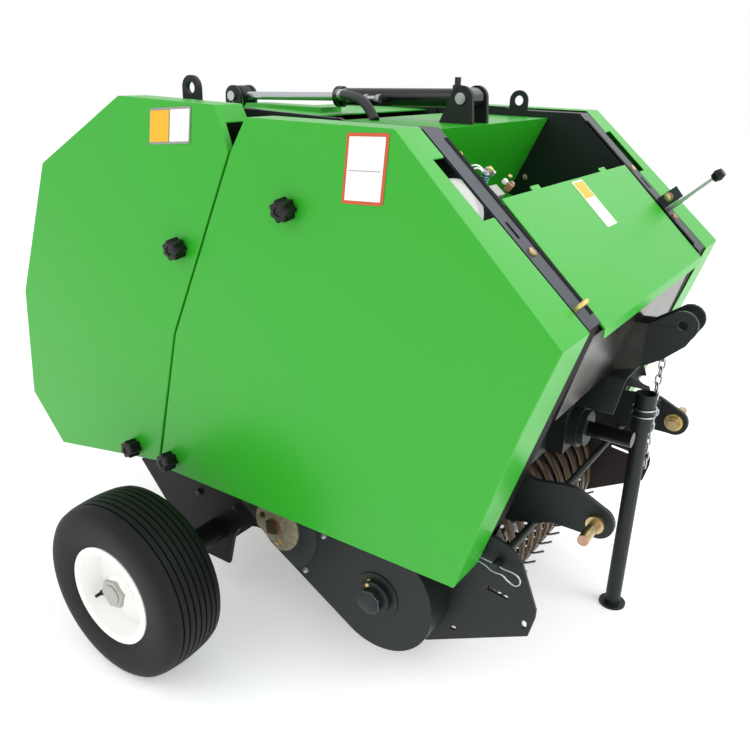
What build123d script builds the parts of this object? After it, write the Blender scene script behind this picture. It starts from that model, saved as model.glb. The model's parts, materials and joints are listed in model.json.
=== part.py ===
"""Mini round baler, built sub-part by sub-part in millimetres.

+X points forward to the tractor, +Y to the machine's left and +Z up. The origin is on the
ground under the middle of the machine. The right side, at -Y, is drawn and the left mirrors it.
"""
import os
from math import cos, radians, sin, tan

from build123d import *

os.makedirs("parts", exist_ok=True)

# Half of the bale chamber's width, and how far pieces reach past it or stay inside it
CHAMBER_HALF = 350
PLATE_T = 5
STRIP_REACH = 56
FLANGE_REACH = 61
COVER_TOP_REACH = 140
COVER_BOTTOM_REACH = 161
CREASE_REACH = 198
NOTCH_REACH = 100
LEG_REACH = 90
PICKUP_REACH = 36
PICKUP_T = 6
GUARD_DEPTH = 74
LID_CLEAR = 6
LEVER_FOOT_REACH = 30
LEVER_KNOB_REACH = 24

# Half widths from the machine's middle
STRIP_OUT_Y = CHAMBER_HALF + STRIP_REACH
FLANGE_IN_Y = CHAMBER_HALF + FLANGE_REACH
COVER_TOP_Y = CHAMBER_HALF + COVER_TOP_REACH
COVER_BOTTOM_Y = CHAMBER_HALF + COVER_BOTTOM_REACH
CREASE_Y = CHAMBER_HALF + CREASE_REACH
NOTCH_Y = CHAMBER_HALF + NOTCH_REACH
LEG_Y = CHAMBER_HALF + LEG_REACH
LID_HALF = CHAMBER_HALF - LID_CLEAR
PICKUP_HALF = CHAMBER_HALF + PICKUP_REACH
GUARD_OUT_Y = PICKUP_HALF + PICKUP_T + GUARD_DEPTH

# Running gear
AXLE_X = -182
TYRE_R = 207.5
TYRE_HALF_W = 75
WHEEL_GAP = 80
TRACK_HALF = CREASE_Y + WHEEL_GAP + TYRE_HALF_W
CROWN_HALF_W = 56
SHOULDER_R = 200
WALL_R = (138, 170)
WALL_HALF_W = 72
GROOVE_YS = (-42, -21, 0, 21, 42)
GROOVE_HALF_W = 3
GROOVE_DEPTH = 5
RIM_R = 103
RIM_T = 4
RIM_FLANGE_R = 115
RIM_HALF_W = 70
DISC_OUT = 15
DISC_T = 5
HUB_R = 32
HUB_OUT = 62
HUB_IN = 60
HUB_CHAMFER = 10
STUB_R = 15
STUB_OUT = 38
STUB_GAP = 0.5
AXLE_TUBE = 60
AXLE_SLEEVE_R = 28
LEG_T = 10
LEG_TOP = 390
LEG_TOE_Z = 118
LEG_REAR = (-449, 318)
LEG_HEEL_X = -271
LEG_TOE_X = -149
LEG_NECK = (-305, 372)
LEG_NECK_RUN = 8
LEG_FRONT_X = -16
LEG_STEP_Z = 262
LEG_SWEEP = ((-50, 262), (-86, 252), (-111, 232), (-130, 200))
GUSSET_W = 60

# Covers, folded outwards along a level crease
SHEET_T = 3
FAR = 4000
BITE = 1
LIP = 18
FRONT_MOUTH = (-40, -40)
GATE_MOUTH = (40, -30)
COVER_TOP = 1189
COVER_BOTTOM = 374
CREASE_Z = 747
SEAM_LOW = (-295, 388)
SEAM_HIGH = (-37, 1125)
SEAM_GAP = 6
COVER_REAR_TOP = (-1, COVER_TOP)
SLOPE_TOP = (327, COVER_TOP)
NOSE = (668, 888)
COVER_TOE = (506, COVER_BOTTOM)
NOTCH_X = (379, 480)
NOTCH_DEPTH = 30

# Side plates of the front frame
PLATE_TOP = 1185
PLATE_BOTTOM = 330
STRIP_LOW = 450
PLATE_INSET = 12
STRIP_TAIL = 92
STRIP_SLOT = (506, 18)
STRIP_SLOT_SIZE = (38, 9)

# Tailgate
PIVOT = (122, 1165)
PIVOT_R = 10
PIVOT_GAP = 0.4
PIVOT_HEAD_R = 15
PIVOT_HEAD_T = 5
ARM_T = 10
ARM_EYE_R = 25
ARM_NECK_ANGLE = 81
ARM_H = 48
ARM_REAR_X = -330
BODY_GAP = 5
GATE_TOP_FRONT = (-81, 1207)
GATE_TOP_REAR = (-358, 1212)
GATE_SHOULDER = (-620, 1055)
GATE_BACK_LOW = (-773, 449)
GATE_TOE = (-691, 316)
GATE_SHEET_LOW_Z = 520
GATE_SHEET_INSET = 34
GATE_SHEET_BACK = 30
SHEET_CUT = (-340, 1150)
GATE_TUBE = (-640, 400)
GATE_TUBE_R = 20

# Lift eyes
REAR_EYE = (-266, 1230)
FRONT_EYE = (166, 1208)
LIFT_EYE_R = 25
LIFT_HOLE_R = 12
LIFT_EYE_ROOT = 20

# Bale chamber and its rollers
CHAMBER = (-242, 760)
ROLLER_RING_R = 338
ROLLER_R = 62
RIB_H = 6
RIB_W = 14
RIBS = 8
ROLLER_END_GAP = 5
SHAFT_R = 15
SHAFT_GAP = 0.3
FRONT_ROLLER_ANGLES = (38, 3, -32, -80)
GATE_ROLLER_ANGLES = (76, 114, 152, 190, 228)

# Hydraulic cylinder
ROD_EYE = (-467, 1200)
CLEVIS_PIN = (207, 1222)
BARREL_R = 20
BARREL_L = 340
BARREL_EYE_R = 22
ROD_R = 10
ROD_EYE_R = 25
ROD_ROOT = 4
ROD_PIN_R = 8
ROD_PIN_PLAY = 8
PIN_R = 8
PIN_GAP = 0.3
CLEVIS_HALF = 30
CLEVIS_BASE = (-52, 30)
CLEVIS_NECK_ANGLE = 150
PIN_TAIL = 8
PIN_HEAD_R = 12
PIN_HEAD_T = 6
LUG_T = 10
LUG_GAP = 5
ROD_EYE_HALF = 18
GLAND_R = 24
GLAND_L = 18
ROD_TAIL = 250
ROD_BORE_DEPTH = 80
ROD_GAP = 0.3
BARREL_EYE_HALF = 24
BARREL_START = 12
PORT_R = 7
PORT_BACK = 32
PORT_H = 42
PORT_SEAT_R = 11
PORT_SEAT_H = 26
LUG_R = 26
RAIL_HALF = 42
RAIL_H = 12
RAIL_LOW = 1080
RAIL_DROP = 35
RAIL_RAMP = 24
RAIL_INSET = 60
LUG_H = 50

# Top sheet and twine box
SHEET_Z = 1170
BOX_BACK_TOP = (248, 1170)
BOX_BACK_LOW = (156, 973)
BOX_FLOOR_FRONT = (600, 830)

# Lid
LID_TOP = (461, 1074)
LID_LOW = (672, 880)
LID_LIP = 20
HINGE_R = 6
HINGE_DROP = 12
HINGE_GAP = 0.4
KNUCKLE_T = 4
KNUCKLES = (-190, 190)
KNUCKLE_L = 40
LID_TAB = 9

# Mast, hitch and drive
MAST_TOP = (655, 862)
MAST_LOW = (607, 690)
MAST_T = 6
LINK_HOLE = (734, 816)
LINK_HOLE_R = 9.75
LINK_GAP = 52
EAR_T = 10
EAR_H = 113
EAR_END_R = 30
EAR_OUTLINE = ((-68, -11), (-14, 26), (24, -18), (12, -41), (-28, -78), (-68, -103))
HITCH_ARM_Y = 284
HITCH_ARM_T = 12
HITCH_PIN = (692, 474)
HITCH_PIN_R = 11
HITCH_PIN_L = 76
HITCH_PIN_IN = 20
HITCH_COLLAR_R = 18
HITCH_COLLAR_T = 12
HITCH_NUT_R = 16
HITCH_NUT_T = 14
HITCH_END_R = 34
ARM_ROOT = ((46, -88), (-30, -30), (-30, 45), (80, 28), (100, 23))
ARM_REACH = ((-69, 59), (-42, 57), (18, 28.8), (-8, -33), (-88, -32), (-121, -47))
BEAM = (460, 500)
BEAM_SIZE = 60
DRIVE_Z = 528
GEARBOX_W = 110
GEARBOX_L = 40
NECK_R = 48
NECK_L = 22
FLANGE_R = 41
FLANGE_X = 566
INPUT_R = 17.5
HOOD_X = 560
HOOD_L = 88
HOOD_TOP_HALF = 60
HOOD_SIDE = (170, 585)
SHAFT_END = 666
STAND = (650, 131)
STAND_R = 19
STAND_GAP = 0.5
SLEEVE_R = 24.5
SLEEVE_Z = (500, 592)
SLEEVE_BRACKET_T = 10
SLEEVE_BRACKET_RISE = 28
SLEEVE_BRACKET_DROP = 30
LEG_BELOW_SLEEVE_TOP = 12
FOOT_R = 33
FOOT_T = 6

# Pick-up
REEL = (306, 241)
REEL_TUBE_R = 40
REEL_DISC_R = 122
REEL_DISC_T = 5
REEL_STUB = 10
TINE_BAR_RING_R = 105
TINE_BAR_R = 12
TINE_BARS = 4
TINE_W = 8
TINE_TRAIL = 10
TINE_START = 20
STRIPPER_R = 182
TINE_REACH = 33
TINE_TIP_R = STRIPPER_R + TINE_REACH
TINE_BEND_IN = 22
TINE_BEND_R = STRIPPER_R - TINE_BEND_IN
STRIPPER_TAIL_X = -70
STRIPPER_HEEL_X = 125
CROP_BAR = (558, 411)
CROP_BAR_R = 8
HEEL_BAR_R = 12
HEEL_BAR_TURN = 209.5
TINE_CLEAR = 6
TAIL_BAR_R = 15
TAIL_BAR_IN = 20
HEEL_BAR_OUT = 10
STRIPPER_T = 4
STRIPPER_W = 30
STRIPPERS = 14
STRIPPER_STEP = 15
PICKUP_PAD_XS = (120, 440)
PICKUP_PAD_Z = 395
PICKUP_PAD = (60, 40)
PICKUP_SLOT = (545, 308)
PICKUP_SLOT_SIZE = (50, 9)
PICKUP_SLOT_TILT = -7
PICKUP_OVALS = (((452, 177), 0), ((608, 259), 90))
PICKUP_OVAL_SIZE = (18, 11)
PICKUP_PIN = (543, 380)
PICKUP_PIN_R = 9
PICKUP_PIN_L = 22
PICKUP_WALL = (
    (537, 431),
    (567, 418),
    (589, 400),
    (629, 302),
    (629, 283),
    (618, 235),
    (392, 113),
    (233, 108),
    (90, 110),
    (30, 262),
    (0, 320),
    (60, 400),
    (300, 440),
)
GUARD_SMALL = (48, 304)
GUARD_SMALL_R = 60
GUARD_R = 134
HUB_RING_R = 53
HUB_RING_T = 3
HUB_HOUSING_R = 38
HUB_HOUSING_T = 14
HUB_CAP_R = 24
HUB_CAP_T = 22
GUARD_BOSS = (38, 292)
GUARD_BOSS_R = 30
GUARD_BOSS_T = 6

# Knobs and the posts they screw on to
POST_R = 8
KNOB_R = 22
KNOB_WAIST_R = 18
KNOB_L = 30
KNOB_LOBES = 7
KNOB_BITE = 30
LOBE_HALF_TURN = 12
FRONT_KNOBS = ((118, 1039), (-246, 410))
GATE_KNOBS = ((-158, 930), (-373, 405))

# Twine unit, lever and hose
TWINE_ROD = (330, 985)
TWINE_ROD_R = 8
PULLEY = (385, 1045)
PULLEY_R = 59
PULLEY_T = 22
PULLEY_IN = 20
PULLEY_STUB_R = 16
KNOTTER = (334, 961)
KNOTTER_SIZE = (40, 62)
KNOTTER_HALF = 30
LEVER_FOOT = (572, CHAMBER_HALF + LEVER_FOOT_REACH, 973.8)
LEVER_KNOB = (672, CHAMBER_HALF + LEVER_KNOB_REACH, 1066)
LEVER_R = 5
LEVER_KNOB_R = 14
LEVER_KNOB_TIP_R = 10
LEVER_KNOB_L = 26
HOSE_R = 11
HOSE_ELBOW_L = 15
HOSE_ELBOW_R = 13
HOSE_NECK_R = 9
HOSE_PATH = (
    (-117.6, -34.2, 1216.5),
    (-60, -68, 1219),
    (5, -97, 1202),
    (52, -119, 1148),
)
HOSE_FIT = 0.45
HOSE_FERRULE = ((-100, -25.5, 1203), (-9, -25.5, 1206))
HOSE_FERRULE_R = 9


def seam_x(z, gap=0.0):
    """Forward place of the slanted line where tailgate and frame meet."""
    run = (SEAM_HIGH[0] - SEAM_LOW[0]) / (SEAM_HIGH[1] - SEAM_LOW[1])
    return SEAM_LOW[0] + run * (z - SEAM_LOW[1]) + gap


SLOPE_FALL = (NOSE[1] - SLOPE_TOP[1]) / (NOSE[0] - SLOPE_TOP[0])


def slope_z(x):
    """Height of the sloping front at x."""
    return SLOPE_TOP[1] + SLOPE_FALL * (x - SLOPE_TOP[0])


def face_y(z):
    """Distance from the middle to a cover's outer face at height z."""
    if z > CREASE_Z:
        return CREASE_Y - (CREASE_Y - COVER_TOP_Y) * (z - CREASE_Z) / (COVER_TOP - CREASE_Z)
    return CREASE_Y - (CREASE_Y - COVER_BOTTOM_Y) * (CREASE_Z - z) / (CREASE_Z - COVER_BOTTOM)


def polygon(*points):
    """Filled outline through the given corners, kept where they are."""
    Polygon(*points, align=None)


def side_plane(y):
    """Side-view plane at y. Its axes are +X and +Z, and it extrudes towards -Y."""
    return Plane.XZ.offset(-y)


def across(centre, radius, y_from, y_to, mode=Mode.ADD):
    """Round bar parallel to Y through a side-view point."""
    with BuildSketch(side_plane(y_to)) as disc:
        with Locations(centre):
            Circle(radius)
    extrude(disc.sketch, amount=y_to - y_from, mode=mode)


def rod_bar(start, end, radius):
    """Round bar from one point in space to another."""
    run = Vector(*end) - Vector(*start)
    with BuildSketch(Plane(origin=start, z_dir=run.normalized())) as disc:
        Circle(radius)
    extrude(disc.sketch, amount=run.length)


def ring_point(centre, radius, angle):
    """Side-view point on a circle, its angle counted up from +X."""
    return (centre[0] + radius * cos(radians(angle)), centre[1] + radius * sin(radians(angle)))


def moved(points, centre):
    """The given offsets as places round a centre."""
    return [(centre[0] + dx, centre[1] + dz) for dx, dz in points]


def save(part, name):
    part.label = name
    export_step(part, f"parts/{name}.step")


def save_pair(part, stem):
    """Write a right-hand piece and its mirror image on the left."""
    save(part, f"{stem}_right")
    with BuildPart() as left:
        mirror(part, about=Plane.XZ)
    save(left.part, f"{stem}_left")


def folded_block(points, inset=0.0, shift=(0, 0), shrink=0.0):
    """Block from the flanges' inner edge out to the folded face, moved in by inset."""
    top, low = COVER_TOP + CREASE_Y, COVER_BOTTOM / 2
    with BuildPart() as block:
        with BuildSketch(side_plane(-FLANGE_IN_Y)):
            polygon(*[(x + shift[0], z + shift[1]) for x, z in points])
            if shrink:
                offset(amount=-shrink, kind=Kind.INTERSECTION)
        extrude(amount=CREASE_Y)
        with BuildSketch(Plane.YZ):
            polygon(
                (-FLANGE_IN_Y + BITE, low),
                (-face_y(low) + inset, low),
                (-CREASE_Y + inset, CREASE_Z),
                (-face_y(top) + inset, top),
                (-FLANGE_IN_Y + BITE, top),
            )
        extrude(amount=FAR, both=True, mode=Mode.INTERSECT)
    return block.part


# Tyres and rims
wheel_plane = Plane(origin=(AXLE_X, -TRACK_HALF, TYRE_R), x_dir=(0, 1, 0), z_dir=(1, 0, 0))
wheel_axis = Axis((AXLE_X, 0, TYRE_R), (0, 1, 0))
bead = RIM_HALF_W - RIM_T
tyre_wall = (
    (bead, RIM_R),
    (bead, RIM_FLANGE_R),
    (WALL_HALF_W, WALL_R[0]),
    (TYRE_HALF_W, WALL_R[1]),
    (CROWN_HALF_W, SHOULDER_R),
)
tread = []
for groove_y in GROOVE_YS:
    tread += [
        (groove_y - GROOVE_HALF_W, TYRE_R),
        (groove_y, TYRE_R - GROOVE_DEPTH),
        (groove_y + GROOVE_HALF_W, TYRE_R),
    ]
with BuildPart() as tyre:
    with BuildSketch(wheel_plane):
        polygon(*[(-y, r) for y, r in tyre_wall], *tread, *reversed(tyre_wall))
    revolve(axis=wheel_axis)
save_pair(tyre.part, "tyre")

bore_r = STUB_R + STUB_GAP
well_r = RIM_R - RIM_T
with BuildPart() as rim:
    with BuildSketch(wheel_plane):
        polygon(
            (-RIM_HALF_W, RIM_FLANGE_R),
            (-bead, RIM_FLANGE_R),
            (-bead, RIM_R),
            (bead, RIM_R),
            (bead, RIM_FLANGE_R),
            (RIM_HALF_W, RIM_FLANGE_R),
            (RIM_HALF_W, well_r),
            (DISC_T - DISC_OUT, well_r),
            (DISC_T - DISC_OUT, HUB_R),
            (HUB_IN, HUB_R),
            (HUB_IN, bore_r),
            (-STUB_OUT - STUB_GAP, bore_r),
            (-STUB_OUT - STUB_GAP, 0),
            (-HUB_OUT, 0),
            (-HUB_OUT, HUB_R - HUB_CHAMFER),
            (HUB_CHAMFER - HUB_OUT, HUB_R),
            (-DISC_OUT, HUB_R),
            (-DISC_OUT, well_r),
            (-RIM_HALF_W, well_r),
        )
    revolve(axis=wheel_axis)
save_pair(rim.part, "rim")

# Axle beam with its stubs and the legs that hang it from the side plates
with BuildPart() as axle_beam:
    with BuildSketch(side_plane(LEG_Y)):
        with Locations((AXLE_X, TYRE_R)):
            Rectangle(AXLE_TUBE, AXLE_TUBE)
    extrude(amount=2 * LEG_Y)
    for side in (-1, 1):
        inner = side * (TRACK_HALF - HUB_IN - BODY_GAP)
        outer = side * (TRACK_HALF + STUB_OUT)
        across((AXLE_X, TYRE_R), STUB_R, min(side * LEG_Y, outer), max(side * LEG_Y, outer))
        across((AXLE_X, TYRE_R), AXLE_SLEEVE_R, min(side * LEG_Y, inner), max(side * LEG_Y, inner))
        plate_y = side * LEG_Y + LEG_T / 2
        with BuildSketch(side_plane(plate_y)):
            polygon(
                LEG_REAR,
                LEG_NECK,
                (LEG_NECK[0] + LEG_NECK_RUN, LEG_TOP),
                (LEG_FRONT_X, LEG_TOP),
                (LEG_FRONT_X, LEG_STEP_Z),
                *LEG_SWEEP,
                (LEG_TOE_X, LEG_TOE_Z),
                (LEG_HEEL_X, LEG_TOE_Z),
            )
        extrude(amount=LEG_T)
        shelf = sorted((side * (CHAMBER_HALF + PLATE_T), side * (LEG_Y - LEG_T / 2)))
        with BuildSketch(side_plane(shelf[1])):
            with Locations((AXLE_X + GUSSET_W / 2, LEG_TOP - GUSSET_W / 2)):
                Rectangle(GUSSET_W, GUSSET_W)
        extrude(amount=shelf[1] - shelf[0])
save(axle_beam.part, "axle_beam")

# Front covers
cover_points = (
    (seam_x(COVER_BOTTOM, SEAM_GAP / 2), COVER_BOTTOM),
    (seam_x(SEAM_HIGH[1], SEAM_GAP / 2), SEAM_HIGH[1]),
    COVER_REAR_TOP,
    SLOPE_TOP,
    NOSE,
    COVER_TOE,
)
cover_cavity = folded_block(cover_points, inset=SHEET_T, shrink=SHEET_T)
cover_mouth = folded_block(cover_points, inset=LIP, shift=FRONT_MOUTH, shrink=SHEET_T)
cover_body = folded_block(cover_points)
with BuildPart() as cover:
    add(cover_body)
    add(cover_cavity, mode=Mode.SUBTRACT)
    add(cover_mouth, mode=Mode.SUBTRACT)
    with BuildSketch(side_plane(0)):
        polygon(
            (NOTCH_X[0], slope_z(NOTCH_X[0]) - NOTCH_DEPTH),
            (NOTCH_X[0], slope_z(NOTCH_X[0]) + NOTCH_DEPTH),
            (NOTCH_X[1], slope_z(NOTCH_X[1]) + NOTCH_DEPTH),
            (NOTCH_X[1], slope_z(NOTCH_X[1]) - NOTCH_DEPTH),
        )
    extrude(amount=NOTCH_Y, mode=Mode.SUBTRACT)
save_pair(cover.part, "front_cover")

# Tailgate covers
gate_points = (
    (seam_x(SEAM_LOW[1], -SEAM_GAP / 2), SEAM_LOW[1]),
    (seam_x(SEAM_HIGH[1], -SEAM_GAP / 2), SEAM_HIGH[1]),
    GATE_TOP_FRONT,
    GATE_TOP_REAR,
    GATE_SHOULDER,
    GATE_BACK_LOW,
    GATE_TOE,
)
gate_cavity = folded_block(gate_points, inset=SHEET_T, shrink=SHEET_T)
gate_mouth = folded_block(gate_points, inset=LIP, shift=GATE_MOUTH, shrink=SHEET_T)
gate_body = folded_block(gate_points)
with BuildPart() as gate_cover:
    add(gate_body)
    add(gate_cavity, mode=Mode.SUBTRACT)
    add(gate_mouth, mode=Mode.SUBTRACT)
save_pair(gate_cover.part, "gate_cover")

# Side plates of the front frame
plate_y = -CHAMBER_HALF
plate_out_y = -CHAMBER_HALF - PLATE_T
slope_end = (SLOPE_TOP[0] + (PLATE_TOP - COVER_TOP) / SLOPE_FALL, PLATE_TOP)
nose_x = NOSE[0] - SHEET_T
front_edge = (slope_end, (nose_x, slope_z(nose_x)), (COVER_TOE[0] - SHEET_T, COVER_BOTTOM))
toe_rise = (NOSE[1] - COVER_BOTTOM) / (NOSE[0] - COVER_TOE[0])
plate_points = (
    (seam_x(PLATE_BOTTOM, SEAM_GAP), PLATE_BOTTOM),
    (seam_x(PLATE_TOP, SEAM_GAP), PLATE_TOP),
    *front_edge,
    (COVER_TOE[0] - SHEET_T + (PLATE_BOTTOM - COVER_BOTTOM) / toe_rise, PLATE_BOTTOM),
)
front_roller_spots = [ring_point(CHAMBER, ROLLER_RING_R, a) for a in FRONT_ROLLER_ANGLES]
gate_roller_spots = [ring_point(CHAMBER, ROLLER_RING_R, a) for a in GATE_ROLLER_ANGLES]


def shrunk(points, amount):
    """Outline of the given corners, shrunk all round."""
    with BuildSketch() as area:
        polygon(*points)
        offset(amount=-amount, kind=Kind.INTERSECTION)
    return area.sketch


def posts(spots, cavity):
    """Rods from a side plate out to the inner face of the cover they carry."""
    with BuildPart() as rods:
        for spot in spots:
            across(spot, POST_R, -CREASE_Y, -FLANGE_IN_Y - BITE)
        add(cavity, mode=Mode.INTERSECT)
        for spot in spots:
            across(spot, POST_R, -FLANGE_IN_Y - BITE, plate_out_y)
    return rods.part


strip_reach = (
    (-FAR / 2, PLATE_TOP),
    *front_edge,
    (COVER_TOE[0] - SHEET_T - STRIP_TAIL / toe_rise, COVER_BOTTOM - STRIP_TAIL),
    (-FAR / 2, COVER_BOTTOM - STRIP_TAIL),
)
front_posts = posts(FRONT_KNOBS, cover_cavity)
with BuildPart() as side_plate:
    with BuildSketch(side_plane(plate_y)):
        polygon(*plate_points)
        with Locations(*front_roller_spots):
            Circle(SHAFT_R + SHAFT_GAP, mode=Mode.SUBTRACT)
        with Locations(REEL):
            Circle(REEL_DISC_R + BODY_GAP, mode=Mode.SUBTRACT)
    extrude(amount=PLATE_T)
    with BuildSketch(side_plane(plate_out_y)):
        add(shrunk(strip_reach, 0))
        add(shrunk(strip_reach, PLATE_T), mode=Mode.SUBTRACT)
        with Locations((FRONT_EYE[0], STRIP_LOW)):
            Rectangle(FAR, FAR, align=(Align.MAX, Align.CENTER), mode=Mode.SUBTRACT)
            Rectangle(FAR, FAR, align=(Align.CENTER, Align.MAX), mode=Mode.SUBTRACT)
    extrude(amount=STRIP_OUT_Y - CHAMBER_HALF - PLATE_T)
    slot_spot = (STRIP_SLOT[0], STRIP_SLOT[1] - STRIP_OUT_Y, slope_z(STRIP_SLOT[0]))
    with BuildSketch(Plane(origin=slot_spot, x_dir=(1, 0, SLOPE_FALL), z_dir=(-SLOPE_FALL, 0, 1))):
        SlotOverall(*STRIP_SLOT_SIZE)
    extrude(amount=2 * PLATE_T, both=True, mode=Mode.SUBTRACT)
    add(front_posts)
    head_y = -CHAMBER_HALF - PLATE_T - BODY_GAP - ARM_T - BITE
    across(PIVOT, PIVOT_R, head_y, plate_out_y)
    across(PIVOT, PIVOT_HEAD_R, head_y - PIVOT_HEAD_T, head_y)
save(side_plate.part, "side_plate_right")
with BuildPart() as side_plate_left:
    mirror(side_plate.part, about=Plane.XZ)
    with BuildSketch(side_plane(CHAMBER_HALF + PLATE_T)):
        with Locations((FRONT_EYE[0], (PLATE_TOP + FRONT_EYE[1] - LIFT_EYE_ROOT) / 2)):
            Rectangle(2 * LIFT_EYE_R, FRONT_EYE[1] - PLATE_TOP + LIFT_EYE_ROOT)
        with Locations(FRONT_EYE):
            Circle(LIFT_EYE_R)
            Circle(LIFT_HOLE_R, mode=Mode.SUBTRACT)
    extrude(amount=PLATE_T)
save(side_plate_left.part, "side_plate_left")

# Tailgate side plates with the arms that carry them from the pivot
arm_in_y = -CHAMBER_HALF - PLATE_T - BODY_GAP
gate_posts = posts(GATE_KNOBS, gate_cavity)
with BuildPart() as gate_plate:
    with BuildSketch(side_plane(plate_y)):
        add(shrunk(gate_points, PLATE_INSET))
        with Locations(*gate_roller_spots):
            Circle(SHAFT_R + SHAFT_GAP, mode=Mode.SUBTRACT)
    extrude(amount=PLATE_T)
    arm_top = GATE_TOP_FRONT[1] - PLATE_INSET
    with BuildSketch(side_plane(plate_out_y)):
        polygon(
            (ARM_REAR_X, arm_top - ARM_H),
            (ARM_REAR_X, arm_top),
            (GATE_TOP_FRONT[0] - GATE_SHEET_BACK, arm_top),
            (GATE_TOP_FRONT[0] - GATE_SHEET_BACK, arm_top - ARM_H),
        )
    extrude(amount=BODY_GAP + ARM_T)
    with BuildSketch(side_plane(arm_in_y)):
        polygon(
            (ARM_REAR_X, arm_top - ARM_H),
            (ARM_REAR_X, arm_top),
            (GATE_TOP_FRONT[0], arm_top),
            ring_point(PIVOT, ARM_EYE_R, ARM_NECK_ANGLE),
            (PIVOT[0], PIVOT[1] - ARM_EYE_R),
            (GATE_TOP_FRONT[0], arm_top - ARM_H),
        )
        with Locations(PIVOT):
            Circle(ARM_EYE_R)
            Circle(PIVOT_R + PIVOT_GAP, mode=Mode.SUBTRACT)
    extrude(amount=ARM_T)
    add(gate_posts)
with BuildPart() as gate_plate_left:
    mirror(gate_plate.part, about=Plane.XZ)
save(gate_plate_left.part, "gate_plate_left")
with BuildPart() as gate_plate_right:
    add(gate_plate.part)
    with BuildSketch(side_plane(arm_in_y)):
        with Locations((REAR_EYE[0], (arm_top + REAR_EYE[1] - LIFT_EYE_ROOT) / 2)):
            Rectangle(2 * LIFT_EYE_R, REAR_EYE[1] - arm_top + LIFT_EYE_ROOT)
        with Locations(REAR_EYE):
            Circle(LIFT_EYE_R)
            Circle(LIFT_HOLE_R, mode=Mode.SUBTRACT)
    extrude(amount=ARM_T)
save(gate_plate_right.part, "gate_plate_right")

# Tailgate sheet, bent over the top and the back, with its lower cross tube, the rail along its
# top and the lugs and pin for the cylinder's rod
sheet_front_x = GATE_TOP_FRONT[0] - GATE_SHEET_BACK
rail_top = GATE_TOP_FRONT[1] - GATE_SHEET_INSET + RAIL_H
lug_in = ROD_EYE_HALF + LUG_GAP
with BuildPart() as gate_sheet:
    with BuildSketch(side_plane(CHAMBER_HALF)):
        add(shrunk(gate_points, GATE_SHEET_INSET))
        add(shrunk(gate_points, GATE_SHEET_INSET + SHEET_T), mode=Mode.SUBTRACT)
        with Locations((sheet_front_x, GATE_SHEET_LOW_Z)):
            Rectangle(FAR, FAR, align=(Align.CENTER, Align.MAX), mode=Mode.SUBTRACT)
            Rectangle(FAR, FAR, align=(Align.MIN, Align.CENTER), mode=Mode.SUBTRACT)
        with Locations(SHEET_CUT):
            Rectangle(FAR, FAR, align=(Align.MIN, Align.MAX), mode=Mode.SUBTRACT)
    extrude(amount=2 * CHAMBER_HALF)
    across(GATE_TUBE, GATE_TUBE_R, -CHAMBER_HALF, CHAMBER_HALF)
    with BuildSketch(side_plane(RAIL_HALF)):
        polygon(
            (ROD_EYE[0] - LUG_R, RAIL_LOW),
            (ROD_EYE[0] - LUG_R, rail_top - RAIL_DROP),
            (ROD_EYE[0] + LUG_R + BODY_GAP, rail_top - RAIL_DROP),
            (ROD_EYE[0] + LUG_R + BODY_GAP + RAIL_RAMP, rail_top),
            (sheet_front_x - RAIL_INSET, rail_top),
            (sheet_front_x - RAIL_INSET, RAIL_LOW),
        )
        add(shrunk(gate_points, GATE_SHEET_INSET), mode=Mode.SUBTRACT)
    extrude(amount=2 * RAIL_HALF)
    for y_out in (lug_in + LUG_T, -lug_in):
        with BuildSketch(side_plane(y_out)):
            with Locations((ROD_EYE[0], ROD_EYE[1] - LUG_H / 2)):
                Rectangle(2 * LUG_R, LUG_H)
            with Locations(ROD_EYE):
                Circle(LUG_R)
        extrude(amount=LUG_T)
    across(ROD_EYE, ROD_PIN_R, -lug_in - LUG_T - PIN_TAIL, lug_in + LUG_T + PIN_TAIL)
    across(ROD_EYE, PIN_HEAD_R, -lug_in - LUG_T - PIN_TAIL, -lug_in - LUG_T)
save(gate_sheet.part, "gate_sheet")

# Hydraulic cylinder, drawn along its own axis from the clevis pin to the rod's eye
reach = Vector(ROD_EYE[0] - CLEVIS_PIN[0], 0, ROD_EYE[1] - CLEVIS_PIN[1])
pin_origin = Vector(CLEVIS_PIN[0], 0, CLEVIS_PIN[1])
ram_axis = reach.normalized()


def ram_plane(distance):
    """Plane square to the cylinder, at a distance from the clevis pin."""
    return Plane(origin=pin_origin + ram_axis * distance, x_dir=(0, 1, 0), z_dir=ram_axis)


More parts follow.
